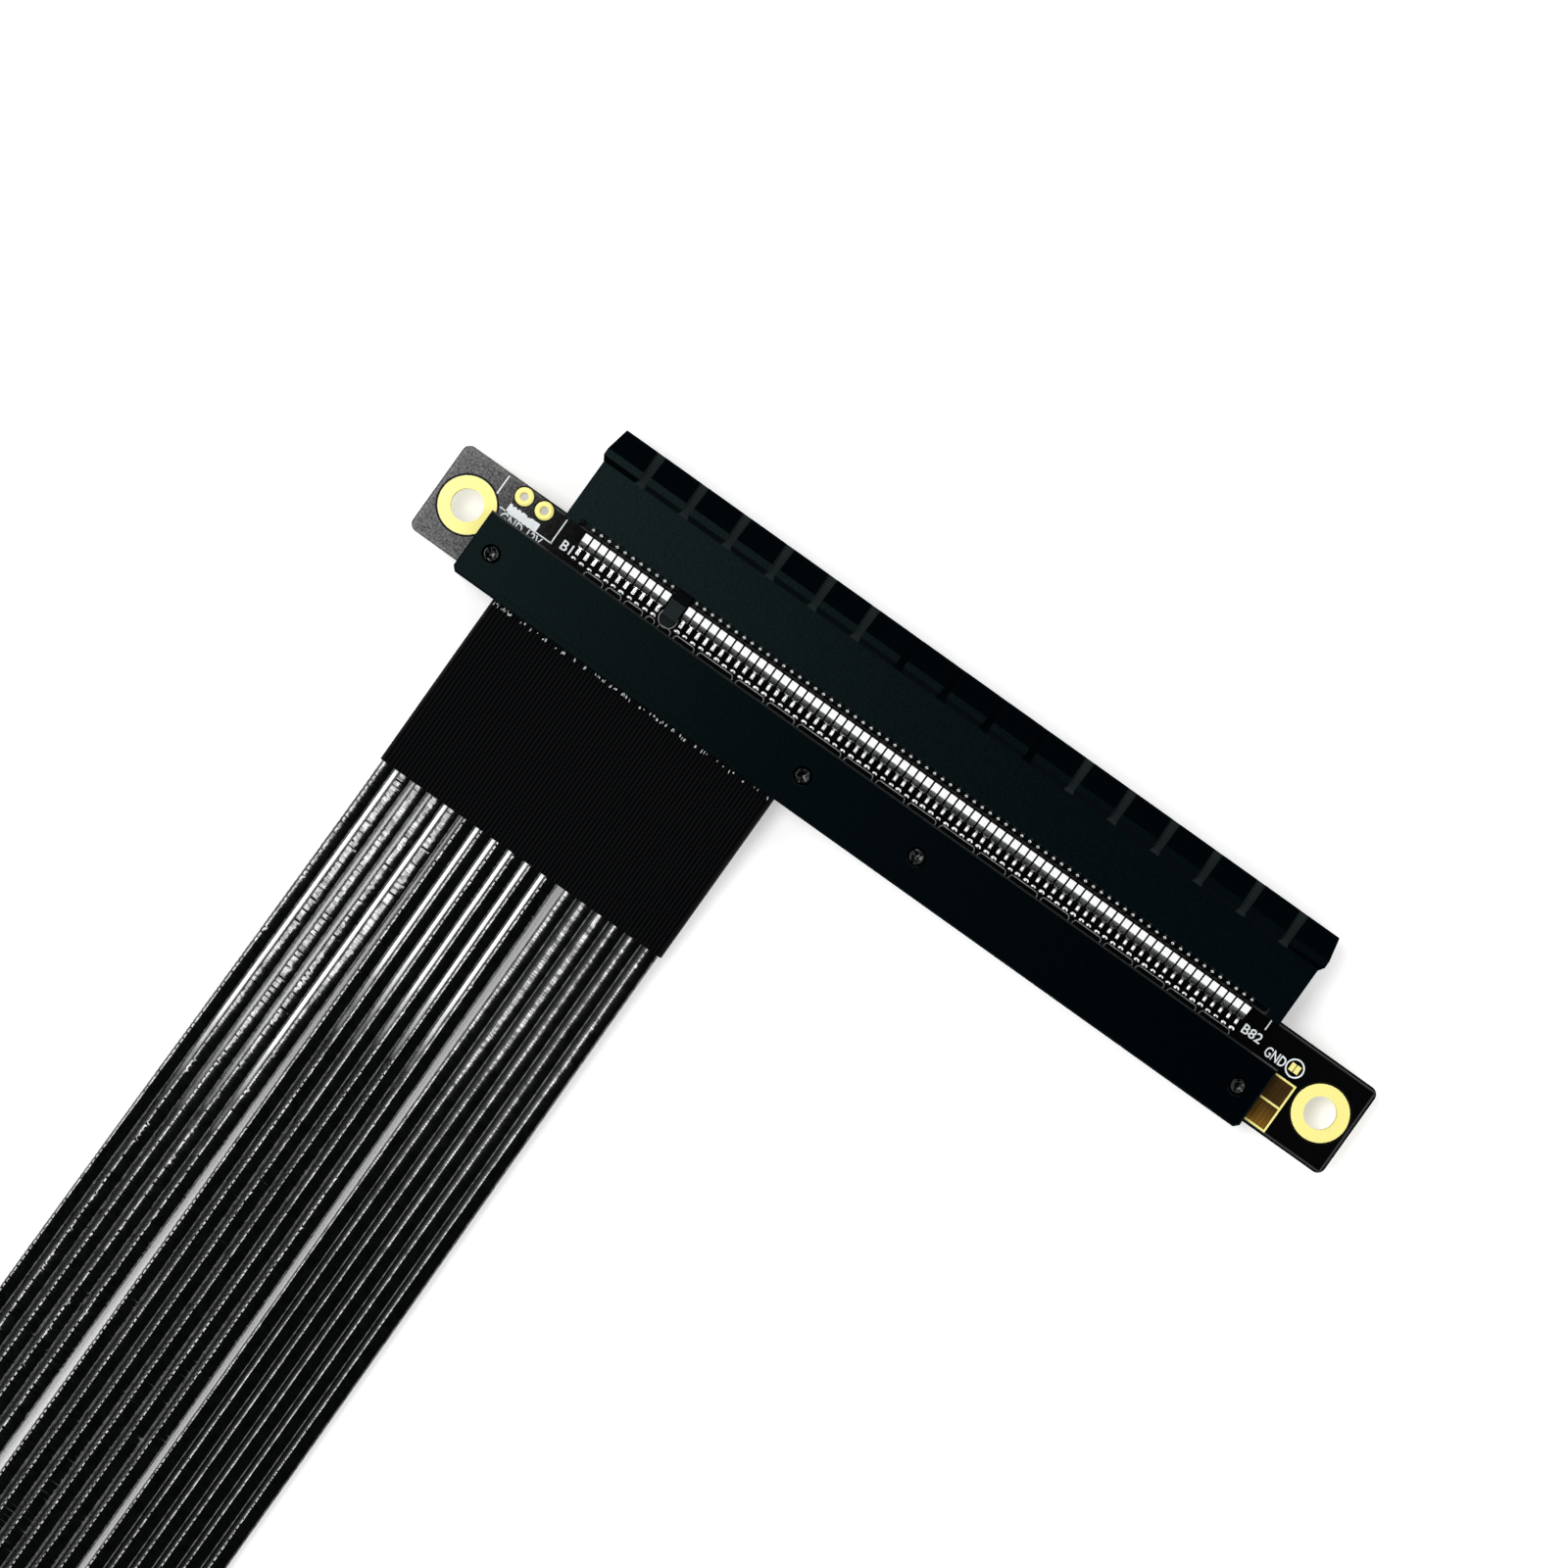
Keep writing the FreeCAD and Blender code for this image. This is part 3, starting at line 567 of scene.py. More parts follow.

# Mask over a trace's ridge, coloured pale: a painted highlight for the light its edge catches
trace_edge_glint = make_material(
    "trace_edge_glint", draw_two_shades, {"Scale": 1 / TRACE_PATCH, "Detail": 2.0}, "#262828", "#A8AAA9",
    {"Roughness": 0.35})
trace_shape = bmesh.new()
for x_from, x_to in zip(TRACE_BOUNDS, TRACE_BOUNDS[1:]):
    left, right = x_from * MM + TRACE_GAP, x_to * MM - TRACE_GAP
    bends = [(left, TRACE_END_Y), (left, TRACE_TOP_Y - TRACE_CORNER), (left + TRACE_CORNER, TRACE_TOP_Y),
             (right - TRACE_CORNER, TRACE_TOP_Y), (right, TRACE_TOP_Y - TRACE_CORNER), (right, TRACE_END_Y)]
    for start, end in zip(bends, bends[1:]):
        add_bar(trace_shape, start, end, TRACE_WIDTH, TRACE_HEIGHT)
add_ring(trace_shape, (KEY_FOOT_X, KEY_TOE_Y), KEY_TOE_RADIUS, TRACE_WIDTH, TRACE_HEIGHT)
add_piece(trace_shape, "trace_ridges", "board_black", trace_edge_glint)


# Bare windows: two patches at the far end of the board where mask and copper are left off.
# The brown laminate shows there, in a frame of plated copper that the cover partly hides.
# Narrow rings of it also show round the plated holes, where the mask keeps clear of them.
WINDOW_LEFT, WINDOW_RIGHT = 46.8 * MM, 50.15 * MM
WINDOW_LINES_Y = (-4.04 * MM, -6.79 * MM, -9.57 * MM)
WINDOW_LINE, WINDOW_LINE_HEIGHT = 0.22 * MM, 0.03 * MM
WINDOW_END_HEIGHT = 0.04 * MM
LAMINATE_WEAVE = 0.45 * MM
LAMINATE_CLOUD = 1.4 * MM
HOLE_X, HOLE_Y = 53.8 * MM, -4.7 * MM
HOLE_CLEARANCE, HOLE_CLEARANCE_WIDTH, HOLE_CLEARANCE_STEPS = 3.2 * MM, 0.15 * MM, 64
POWER_CLEARANCE, POWER_CLEARANCE_WIDTH = 1.05 * MM, 0.12 * MM
CLEARANCE_THICKNESS = 0.01 * MM
# The two halves of the small round pad: how far from its middle, half length, width and heights
LOBE_OFFSET, LOBE_HALF_LENGTH, LOBE_WIDTH = 0.3 * MM, 0.2 * MM, 0.5 * MM
LOBE_HEIGHTS = (0.02 * MM, 0.06 * MM)


def draw_bare_laminate(material, place):
    """Glass cloth laminate: brown epoxy, clouded, with its square weave just showing."""
    cloud = add_node(material, "ShaderNodeTexNoise", {
        "Vector": place, "Scale": 1 / LAMINATE_CLOUD, "Detail": 4.0})
    weave = add_node(material, "ShaderNodeTexWave", {
        "Vector": place, "Scale": math.pi / 10 / LAMINATE_WEAVE, "Distortion": 1.0},
        wave_type="BANDS", bands_direction="X")
    axes = add_node(material, "ShaderNodeSeparateXYZ", {"Vector": place})
    lighter = add_node(material, "ShaderNodeMapRange", {
        "Value": axes.outputs["Y"], "From Min": WINDOW_LINES_Y[1], "From Max": WINDOW_LINES_Y[2],
        "To Min": 0.15})
    mixed = add_node(material, "ShaderNodeMath", {
        0: weave.outputs["Fac"], 1: 0.3, 2: cloud}, operation="MULTIPLY_ADD")
    shade = add_node(material, "ShaderNodeMath", {0: mixed, 1: lighter}, operation="MULTIPLY")
    colour = add_node(material, "ShaderNodeMix", {
        "Factor": shade, 6: linear("#231603"), 7: linear("#8A621A")}, data_type="RGBA")
    return {"Base Color": colour.outputs[2], "Roughness": 0.4, "Specular IOR Level": 0.1}


# Laminate in the narrow gap between mask and plating: dark, because it lies in their shade
clearance_laminate = make_material("clearance_laminate", {
    "Base Color": linear("#0A0907"), "Roughness": 0.8, "Specular IOR Level": 0.05})
clearance_shape = bmesh.new()
for x in (-HOLE_X, HOLE_X):
    add_ring(clearance_shape, (x, HOLE_Y), HOLE_CLEARANCE, HOLE_CLEARANCE_WIDTH, CLEARANCE_THICKNESS,
             HOLE_CLEARANCE_STEPS)
for x in POWER_PLACES:
    add_ring(clearance_shape, (x, POWER_Y), POWER_CLEARANCE, POWER_CLEARANCE_WIDTH, CLEARANCE_THICKNESS)
add_piece(clearance_shape, "clearance_rings", "board_black", clearance_laminate)

laminate_shape = bmesh.new()
for top, bottom in zip(WINDOW_LINES_Y, WINDOW_LINES_Y[1:]):
    middle_y = (top + bottom) / 2
    width = top - bottom - WINDOW_LINE
    add_bar(laminate_shape, (WINDOW_LEFT + width / 2, middle_y), (WINDOW_RIGHT - width / 2, middle_y), width,
            INK_THICKNESS)
bare_laminate = make_material("bare_laminate", draw_bare_laminate)
add_piece(laminate_shape, "laminate_windows", "board_black", bare_laminate)

frame_shape = bmesh.new()
for y in WINDOW_LINES_Y:
    add_bar(frame_shape, (WINDOW_LEFT, y), (WINDOW_RIGHT, y), WINDOW_LINE, WINDOW_LINE_HEIGHT)
add_bar(frame_shape, (WINDOW_RIGHT, WINDOW_LINES_Y[0]), (WINDOW_RIGHT, WINDOW_LINES_Y[-1]), WINDOW_LINE,
        WINDOW_END_HEIGHT)
for x, height in zip((PAD_X - LOBE_OFFSET, PAD_X + LOBE_OFFSET), LOBE_HEIGHTS):
    add_bar(frame_shape, (x, PAD_Y - LOBE_HALF_LENGTH), (x, PAD_Y + LOBE_HALF_LENGTH), LOBE_WIDTH, height)
add_piece(frame_shape, "window_frame", "gold_plating", plating_gold)


# Socket cover: two half shells of black ABS that close over the solder joints and the cable's ends.
# They are moulded with a fine satin texture, and the lower half's posts are melted over to hold both.
# The plug has the same cover, so its two halves are made here too.
COVER_EDGE = 0.1 * MM
COVER_GRAIN, COVER_GRAIN_DEPTH = 0.3 * MM, 0.02 * MM
# From which share of its normal a face counts as part of a rounded front edge
RUBBED_TILT = 0.25

# Satin ABS: black, with a soft sheen that follows the softbox
cover_abs = make_material(
    "cover_abs", draw_two_shades, {"Scale": 1 / COVER_GRAIN, "Detail": 3.0}, "#000103", "#000407",
    {"Roughness": 0.25, "Specular IOR Level": 0.038, "Specular Tint": linear("#C8F8F4")},
    relief=(0.25, COVER_GRAIN_DEPTH))
# The same ABS along the edges that hands rub: smooth, so they show as a thin pale line
rubbed_abs = make_material("rubbed_abs", {
    "Base Color": linear("#05080A"), "Roughness": 0.3, "Specular IOR Level": 0.4})
for node in ("socket_cover_top", "socket_cover_bottom", "plug_cover_top", "plug_cover_bottom"):
    cover_shape = merged_copy(node)
    soften_edges(cover_shape, COVER_EDGE)
    for face in cover_shape.faces:
        face.material_index = int(face.normal.y > RUBBED_TILT and abs(face.normal.z) > RUBBED_TILT)
    cover = add_piece(cover_shape, f"{node}_moulding", "cover_plastic", cover_abs, rubbed_abs, sharp=0)
    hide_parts(node)


# Stake heads: the melted tops of the posts in the cover's four holes.
# A hot tool spreads each ABS post a little and leaves a raised rim and a few bright drawn streaks.
STAKE_PLACES = (-48.75 * MM, -9.61 * MM, 4.69 * MM, 45.05 * MM)
STAKE_Y = -7.37 * MM
STAKE_TOP = 6.6 * MM
STAKE_STEPS = 24
STAKE_UNEVENNESS = 0.05 * MM
# Half of a stake's head, seen from the side: radius and height over the post, in millimetres
STAKE_LINE = ((0.0, 0.02), (0.45, 0.03), (0.6, 0.1), (0.7, 0.12), (0.78, 0.06), (0.8, -0.1))
WELD_DISTANCE = 0.001 * MM

# ABS that has been melted: black with a wet gloss, so its uneven rim catches the light
melted_abs = make_material("melted_abs", {
    "Base Color": linear("#020304"), "Roughness": 0.1, "Specular IOR Level": 0.3})
stake_shape = bmesh.new()
spin_line(stake_shape, [(radius * MM, STAKE_TOP + z * MM) for radius, z in STAKE_LINE], STAKE_STEPS,
          closed=False)
bmesh.ops.remove_doubles(stake_shape, verts=stake_shape.verts, dist=WELD_DISTANCE)
bmesh.ops.recalc_face_normals(stake_shape, faces=stake_shape.faces)
copy_to(stake_shape, [(x, STAKE_Y, 0) for x in STAKE_PLACES])
for vert in stake_shape.verts:
    vert.co.z += chance.uniform(-STAKE_UNEVENNESS, STAKE_UNEVENNESS)
add_piece(stake_shape, "stake_heads", "cover_plastic", melted_abs)


# Flat pair cables: 17 above and 17 below, each two wires and a drain wrapped in black film.
# The film is wound on as a narrow tape, so every turn leaves a low ridge that glints along the shoulder.
# Neighbours in the upper layer are bonded edge to edge by a clear film that shows as a pale line.
# Its pale colour is painted light for the lit table seen through the gaps, darkening as painted shade further
# on
CABLE_WIDTH = 1.76 * MM
CABLE_THICKNESS = 0.98 * MM
CABLE_PITCH = 2.04 * MM
# Bunches of strips: x of the first strip in millimetres
BUNCHES = (-44.84, -34.72, -21.99)
# How each strip of a bunch lies: its lean to the left in degrees, the height of its ridges in millimetres,
# and how round they are
STRIPS = (
    ((-2, 0.06, 0.7), (0.4, 0.06, 0.2), (0.4, 0.06, 0.8), (0.4, 0.06, 0.1), (0.4, 0.06, 0.2)),
    ((-4, 0.06, 0.8), (-4, 0.06, 0.8), (-4.5, 0.06, 0.8), (-5, 0.06, 0.8), (-4.5, 0.06, 0.8), (-4, 0.06, 0.8)),
    ((0, 0.03, 0.5), (0.6, 0.02, 0.4), (0.6, 0.02, 0.4), (0.6, 0.02, 0.4), (0.6, 0.02, 0.4), (0.6, 0.03, 0.5)))
# The route's points: y, and z of the upper and the lower layer, in millimetres
ROUTE = ((-7.62, 5.05, 2.45), (-18.02, 5.05, 2.45), (-39.02, 2.46, 1.42), (-111.02, 1.56, 0.52),
         (-183.02, 2.16, 1.12), (-204.02, 4.285, 1.715), (-214.42, 4.285, 1.715))
# How far each bunch drifts sideways at those points, as the photograph shows, in millimetres
DRIFTS = ((0, 0, -0.12, -1.0, -0.5, 0, 0), (0, 0, 0, 0.22, 0.1, 0, 0), (0, 0, 0.05, 0.45, 0.2, 0, 0))
# How much wider the strips of each bunch lie on the table, from strip to strip in millimetres, and the share
# of it at each point
SPREADS = (0.1, 0.11, 0)
SPREAD_SHARES = (0, 0, 0.3, 1, 0.5, 0, 0)
LINE_STEPS = 40
RIDGE_PITCH = 0.66 * MM
# Points along each turn of the film in the upper layer, and in the lower one, which is hidden
RIDGE_STEPS = (4, 1)
# The least and the greatest share of its height that one turn's ridge takes
RIDGE_SHARES = (0.4, 1.2)
# A ridge's height in the mean, what it gains as the strip turns over, and how much it comes and goes
RIDGE_MEAN, RIDGE_GAIN, RIDGE_SWAY = 0.75, 0.2, 0.25
# How far the turns of the film run ahead and fall back, as a share of a turn
TURN_SWAY = 0.25
# How long the strip's slow and quick sways are, and how far they twist it in degrees
SLOW_LENGTHS, QUICK_LENGTHS = (9, 16), (2.5, 5)
SLOW_TWIST, QUICK_TWIST = 0.8, 0.5
# Away from the socket the strips turn over to the right, by so many degrees, and their turns lie looser
TURN_FROM_Y, TURN_TO_Y = -48 * MM, -76 * MM
TURN_ANGLES = (4, 1, 5.5)
# Round a strip's section: the angles of its points in degrees, close together on the upper shoulders
SECTION_ANGLES = (0, 30, 45, 55, 65, 78, 90, 102, 115, 125, 135, 150, 180, 225, 270, 315, 360)
# How square the section is near the socket and further on: less is squarer
SECTION_POWERS = (0.45, 0.36)
FILM_WRINKLE, FILM_WRINKLE_DEPTH = 0.4 * MM, 0.03 * MM
FILM_PATCH = 1.1 * MM
# The bonding film in each gap of a bunch: its height over the middle of the strips at the wrap, in millimetres
BOND_HEIGHTS = ((0.3, -0.3, -0.3, 0.3), (0.34, 0.3, 0.33, 0.3, 0.34), (-0.36, -0.34, -0.36, -0.34, -0.36))
# Between which places along the cable the film of each bunch sinks and its colour fades to painted shade
BOND_SINKS = ((-60 * MM, -74 * MM), (-46 * MM, -58 * MM), (-52 * MM, -80 * MM))
# Colour of each bunch's film near the wrap: painted light for the lit table seen through the gaps
GAP_LIGHT_COLOURS = ("#F8F9F9", "#F8F9F9", "#34383A")
BOND_SUNK = -0.46 * MM
BOND_WIDTH = 0.36 * MM
BOND_THICKNESS = 0.05 * MM
BOND_SPACING = 1.0 * MM
BOND_PATCH, BOND_PATCH_REACH = 2.5 * MM, 12 * MM


def smooth_line(points):
    """Points along the NURBS line that has the route's points as its control points."""
    curve = bpy.data.curves.new("cable_line", "CURVE")
    curve.dimensions = "3D"
    spline = curve.splines.new("NURBS")
    spline.points.add(len(points) - 1)
    for control, point in zip(spline.points, points):
        control.co = (*point, 1)
    spline.order_u = 3
    spline.use_endpoint_u = True
    spline.resolution_u = LINE_STEPS
    mesh = mesh_of(curve)
    line = [vert.co.copy() for vert in mesh.vertices]
    bpy.data.meshes.remove(mesh)
    return line


def even_stations(line, spacing):
    """Places and directions at even steps along a line."""
    stations = []
    wanted = passed = 0.0
    for start, end in zip(line, line[1:]):
        run = end - start
        while wanted <= passed + run.length:
            stations.append((start + run * ((wanted - passed) / run.length), run.normalized()))
            wanted += spacing
        passed += run.length
    return stations


def share_between(value, start, end):
    """How far a value has come from a start to an end, from 0 to 1."""
    return min(max((value - start) / (end - start), 0), 1)


def make_strip(line, ridge_steps, turn_angle, lean, ridge_height, roundness, chance):
    """A film wrapped strip: a grid rolled round its line, with a ridge for each turn of the film."""
    spacing = RIDGE_PITCH / ridge_steps
    stations = even_stations(line, spacing)
    bm = bmesh.new()
    bmesh.ops.create_grid(bm, x_segments=len(SECTION_ANGLES) - 1, y_segments=len(stations) - 1, size=1)
    section = [(math.cos(math.radians(angle)), math.sin(math.radians(angle)), angle / 360)
               for angle in SECTION_ANGLES]
    phase = chance.uniform(0, 1)
    slow, quick = chance.uniform(*SLOW_LENGTHS) * MM, chance.uniform(*QUICK_LENGTHS) * MM
    sway = chance.uniform(0, math.tau)
    turn_heights = [chance.uniform(*RIDGE_SHARES) for _ in range(int(len(stations) / ridge_steps) + 4)]
    verts = iter(bm.verts)
    for i, (centre, ahead) in enumerate(stations):
        along = i * spacing
        turned = share_between(centre.y, TURN_FROM_Y, TURN_TO_Y)
        power = SECTION_POWERS[0] + (SECTION_POWERS[1] - SECTION_POWERS[0]) * turned
        twist = (lean - turn_angle * turned + SLOW_TWIST * math.sin(along / slow + sway)
                 + QUICK_TWIST * math.sin(along / quick))
        side = Matrix.Rotation(math.radians(twist), 3, ahead) @ Vector((1, 0, 0))
        above = ahead.cross(side)
        turns = along / RIDGE_PITCH + 1 + phase + TURN_SWAY * math.sin(along / quick + sway)
        strength = ridge_height * MM * (
            RIDGE_MEAN + RIDGE_GAIN * turned + RIDGE_SWAY * math.sin(along / (2.1 * quick) + 2 * sway))
        for across, up, share in section:
            turn = (turns + share) % 1
            ridge = strength * turn_heights[int(turns + share)] * (
                turn - 1 + roundness * (0.5 - turn - 0.5 * math.cos(math.tau * turn)))
            across = math.copysign(abs(across) ** power, across)
            up = math.copysign(abs(up) ** power, up)
            next(verts).co = (centre + side * (across * (CABLE_WIDTH / 2 + ridge))
                              + above * (up * (CABLE_THICKNESS / 2 + ridge)))
    bmesh.ops.remove_doubles(bm, verts=bm.verts, dist=WELD_DISTANCE)
    bmesh.ops.holes_fill(bm, edges=[edge for edge in bm.edges if edge.is_boundary], sides=len(SECTION_ANGLES))
    bmesh.ops.recalc_face_normals(bm, faces=bm.faces)
    return bm


def add_bond(bm, left_line, right_line, height, sinks):
    """The film between two strips: it lies high between them near the wrap and sinks further on."""
    middle = []
    for left, right in zip(left_line, right_line):
        share = share_between(left.y, *sinks)
        share = share * share * (3 - 2 * share)
        middle.append((left + right) / 2 + Vector((0, 0, height * MM + share * (BOND_SUNK - height * MM))))
    stations = even_stations(middle, BOND_SPACING)
    made = bmesh.ops.create_grid(bm, x_segments=1, y_segments=len(stations) - 1, size=1)["verts"]
    for i, vert in enumerate(made):
        vert.co = stations[i // 2][0] + Vector(((i % 2 - 0.5) * BOND_WIDTH, 0, 0))


def draw_cable_film(material, place):
    """Polyester film: black and glossy, finely wrinkled where the turns overlap."""
    wrinkles = add_node(material, "ShaderNodeTexNoise", {
        "Vector": place, "Scale": 1 / FILM_WRINKLE, "Detail": 3.0})
    relief = add_node(material, "ShaderNodeBump", {
        "Height": wrinkles, "Strength": 0.1, "Distance": FILM_WRINKLE_DEPTH})
    colour = add_node(material, "ShaderNodeMix", {
        "Factor": wrinkles, 6: linear("#000101"), 7: linear("#030404")}, data_type="RGBA")
    patches = add_node(material, "ShaderNodeTexNoise", {
        "Vector": place, "Scale": 1 / FILM_PATCH, "Detail": 4.0, "Roughness": 0.7})
    gloss = add_node(material, "ShaderNodeMapRange", {
        "Value": patches, "From Min": 0.38, "From Max": 0.62, "To Min": 0.3, "To Max": 0.9})
    return {"Base Color": colour.outputs[2], "Roughness": 0.09, "IOR": 1.7, "Specular IOR Level": gloss,
            "Normal": relief}


def draw_gap_light_film(material, place, code, bright_to_y, dark_from_y):
    """Clear polyester film between strips, white near the wrap as painted light and fading to painted shade."""
    patches = add_node(material, "ShaderNodeTexNoise", {
        "Vector": place, "Scale": 1 / BOND_PATCH, "Detail": 2.0})
    axes = add_node(material, "ShaderNodeSeparateXYZ", {"Vector": place})
    uneven = add_node(material, "ShaderNodeMath", {
        0: patches, 1: BOND_PATCH_REACH, 2: axes.outputs["Y"]}, operation="MULTIPLY_ADD")
    gap_light_fade = add_node(material, "ShaderNodeMapRange", {
        "Value": uneven, "From Min": dark_from_y + BOND_PATCH_REACH / 2,
        "From Max": bright_to_y + BOND_PATCH_REACH / 2})
    colour = add_node(material, "ShaderNodeMix", {
        "Factor": gap_light_fade, 6: linear("#1C2022"), 7: linear(code)}, data_type="RGBA")
    return {"Base Color": colour.outputs[2], "Roughness": 0.3, "Specular IOR Level": 0.1}


cable_film = make_material("cable_film", draw_cable_film)
plug_pieces = [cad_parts[name] for name in ("plug_board", "plug_fingers_b", "plug_fingers_a")]
for layer, letter in enumerate("ba"):
    number = 0
    for bunch, (first_x, strips, drift, spread) in enumerate(zip(BUNCHES, STRIPS, DRIFTS, SPREADS)):
        routes = [[Vector((first_x + (CABLE_PITCH / MM + spread * share) * i + sideways, y, z[layer])) * MM
                   for (y, *z), sideways, share in zip(ROUTE, drift, SPREAD_SHARES)]
                  for i in range(len(strips))]
        lines = [smooth_line(route) for route in routes]
        on_cable = list(plug_pieces)
        if letter == "b":
            bond_shape = bmesh.new()
            for left_line, right_line, height in zip(lines, lines[1:], BOND_HEIGHTS[bunch]):
                add_bond(bond_shape, left_line, right_line, height, BOND_SINKS[bunch])
            bmesh.ops.recalc_face_normals(bond_shape, faces=bond_shape.faces)
            bmesh.ops.solidify(bond_shape, geom=bond_shape.faces[:], thickness=BOND_THICKNESS)
            # The film's colour is painted light near the wrap and painted shade further on
            gap_light_film = make_material(f"gap_light_film_{bunch + 1}", draw_gap_light_film, GAP_LIGHT_COLOURS[bunch],
                                      *BOND_SINKS[bunch])
            on_cable.append(add_piece(bond_shape, f"gap_light_film_{bunch + 1}", "cable_film", gap_light_film))
        for route, line, lie in zip(routes, lines, strips):
            number += 1
            strip_shape = make_strip(line, RIDGE_STEPS[layer], TURN_ANGLES[bunch], *lie,
                                     random.Random(100 * layer + number))
            strip = add_piece(strip_shape, f"cable_{letter}{number:02d}", "cable_film", cable_film)
            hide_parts(f"pair_cable_{letter}{number:02d}")


# Cloth wraps: black acetate cloth tape round both layers where they leave each cover.
# Its warp threads run along the cable as fine ribs, and its cut end lies flat on the strips.
# The threads lie 0.26 mm apart; the ribs are drawn coarser here so that they show.
WRAP_THREAD, WRAP_THREAD_DEPTH = 0.26 * MM, 0.02 * MM
WRAP_FLUFF = 0.2 * MM
WRAP_RIB = 0.45 * MM
WRAP_RIB_HEIGHT = 0.03 * MM
WRAP_THICKNESS = 0.25 * MM
WRAP_CORNER_STEPS = 6
WRAP_ROWS = 24
# How far the rounded sides stand out, as a share of half the wrap's height
WRAP_SIDE = 0.35


def draw_wrap_cloth(material, place):
    """Acetate cloth: dull black threads with a weft that crosses the ribs, and a painted highlight along the
    ribs.
    """
    weft = add_node(material, "ShaderNodeTexWave", {
        "Vector": place, "Scale": math.pi / 10 / WRAP_THREAD, "Distortion": 2.0, "Detail": 2.0},
        wave_type="BANDS", bands_direction="Y")
    fluff = add_node(material, "ShaderNodeTexNoise", {"Vector": place, "Scale": 1 / WRAP_FLUFF, "Detail": 3.0})
    height = add_node(material, "ShaderNodeMath", {0: weft.outputs["Fac"], 1: fluff}, operation="ADD")
    relief = add_node(material, "ShaderNodeBump", {
        "Height": height, "Strength": 0.5, "Distance": WRAP_THREAD_DEPTH})
    # Lighter stripes of colour along the ribs are a painted highlight on their crowns
    ribs = add_node(material, "ShaderNodeTexWave", {
        "Vector": place, "Scale": math.pi / 10 / WRAP_RIB, "Distortion": 0.4, "Detail": 1.0},
        wave_type="BANDS", bands_direction="X")
    colour = add_node(material, "ShaderNodeMix", {
        "Factor": ribs.outputs["Fac"], 6: linear("#000000"), 7: linear("#0C0D0F")}, data_type="RGBA")
    return {"Base Color": colour.outputs[2], "Roughness": 0.5, "Specular IOR Level": 0.01, "Normal": relief}


def make_wrap(node):
    """A ribbed sleeve that fills its CAD node's outline: a grid rolled into a tube, then thickened inwards."""
    low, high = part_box(node)
    points = [vert.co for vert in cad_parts[node].data.vertices]
    outline = {(round(point.y, 6), round(point.z, 6)) for point in points}
    ys = sorted({y for y, _ in outline})
    tops, bottoms = [[pick(z for y, z in outline if y == wanted) for wanted in ys] for pick in (max, min)]

    def level(values, y):
        """The height at a place along the cable, between the CAD node's own points."""
        for y0, z0, y1, z1 in zip(ys, values, ys[1:], values[1:]):
            if y0 <= y <= y1:
                return z0 + (z1 - z0) * (y - y0) / (y1 - y0)
        return values[-1]

    per_face = 2 * int((high.x - low.x) / WRAP_RIB)
    half_round = per_face + WRAP_CORNER_STEPS
    bm = bmesh.new()
    bmesh.ops.create_grid(bm, x_segments=2 * half_round, y_segments=WRAP_ROWS, size=1)
    verts = iter(bm.verts)
    for row in range(WRAP_ROWS + 1):
        y = low.y + (high.y - low.y) * row / WRAP_ROWS
        top, bottom = level(tops, y) - WRAP_RIB_HEIGHT, level(bottoms, y) + WRAP_RIB_HEIGHT
        radius = (top - bottom) / 2
        width = high.x - low.x - 2 * WRAP_SIDE * radius
        for j in range(2 * half_round + 1):
            over, step = divmod(j, half_round)
            side = -1 if over == 1 else 1
            if step < per_face:
                # Every second point stands up as a rib, and no two ribs are quite alike
                rib = WRAP_RIB_HEIGHT * (j % 2) * (0.7 + 0.3 * math.sin(0.9 * row + 1.7 * j))
                across, up = width * (step / per_face - 0.5), radius + rib
            else:
                turn = math.pi * (step - per_face) / WRAP_CORNER_STEPS
                across, up = width / 2 + WRAP_SIDE * radius * math.sin(turn), radius * math.cos(turn)
            next(verts).co = ((low.x + high.x) / 2 + side * across, y, (top + bottom) / 2 + side * up)
    bmesh.ops.remove_doubles(bm, verts=bm.verts, dist=WELD_DISTANCE)
    bmesh.ops.recalc_face_normals(bm, faces=bm.faces)
    bmesh.ops.solidify(bm, geom=bm.faces[:], thickness=WRAP_THICKNESS)
    return bm


wrap_cloth = make_material("wrap_cloth", draw_wrap_cloth)
for node in ("wrap_socket_end", "wrap_plug_end"):
    add_piece(make_wrap(node), f"{node}_cloth", "wrap_cloth", wrap_cloth)
    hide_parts(node)


# Glue beads: clear hot melt that has squeezed out between the socket's cover and the cloth.
# It sets as small bright crumbs along the seam, uneven in length.
GLUE_LEFT, GLUE_RIGHT = -45.6 * MM, -10.9 * MM
GLUE_Y, GLUE_STRAY = -11.28 * MM, 0.12 * MM
GLUE_TOP = 5.9 * MM
GLUE_MILK = 0.3 * MM
GLUE_TURN = 0.4
# The least and the greatest half size of a bead along each axis, and the steps to the next, in millimetres
GLUE_SIZES = ((0.04, 0.12), (0.08, 0.24), (0.04, 0.09))
GLUE_STEPS = (0.2, 0.3, 0.45, 0.8, 1.3)

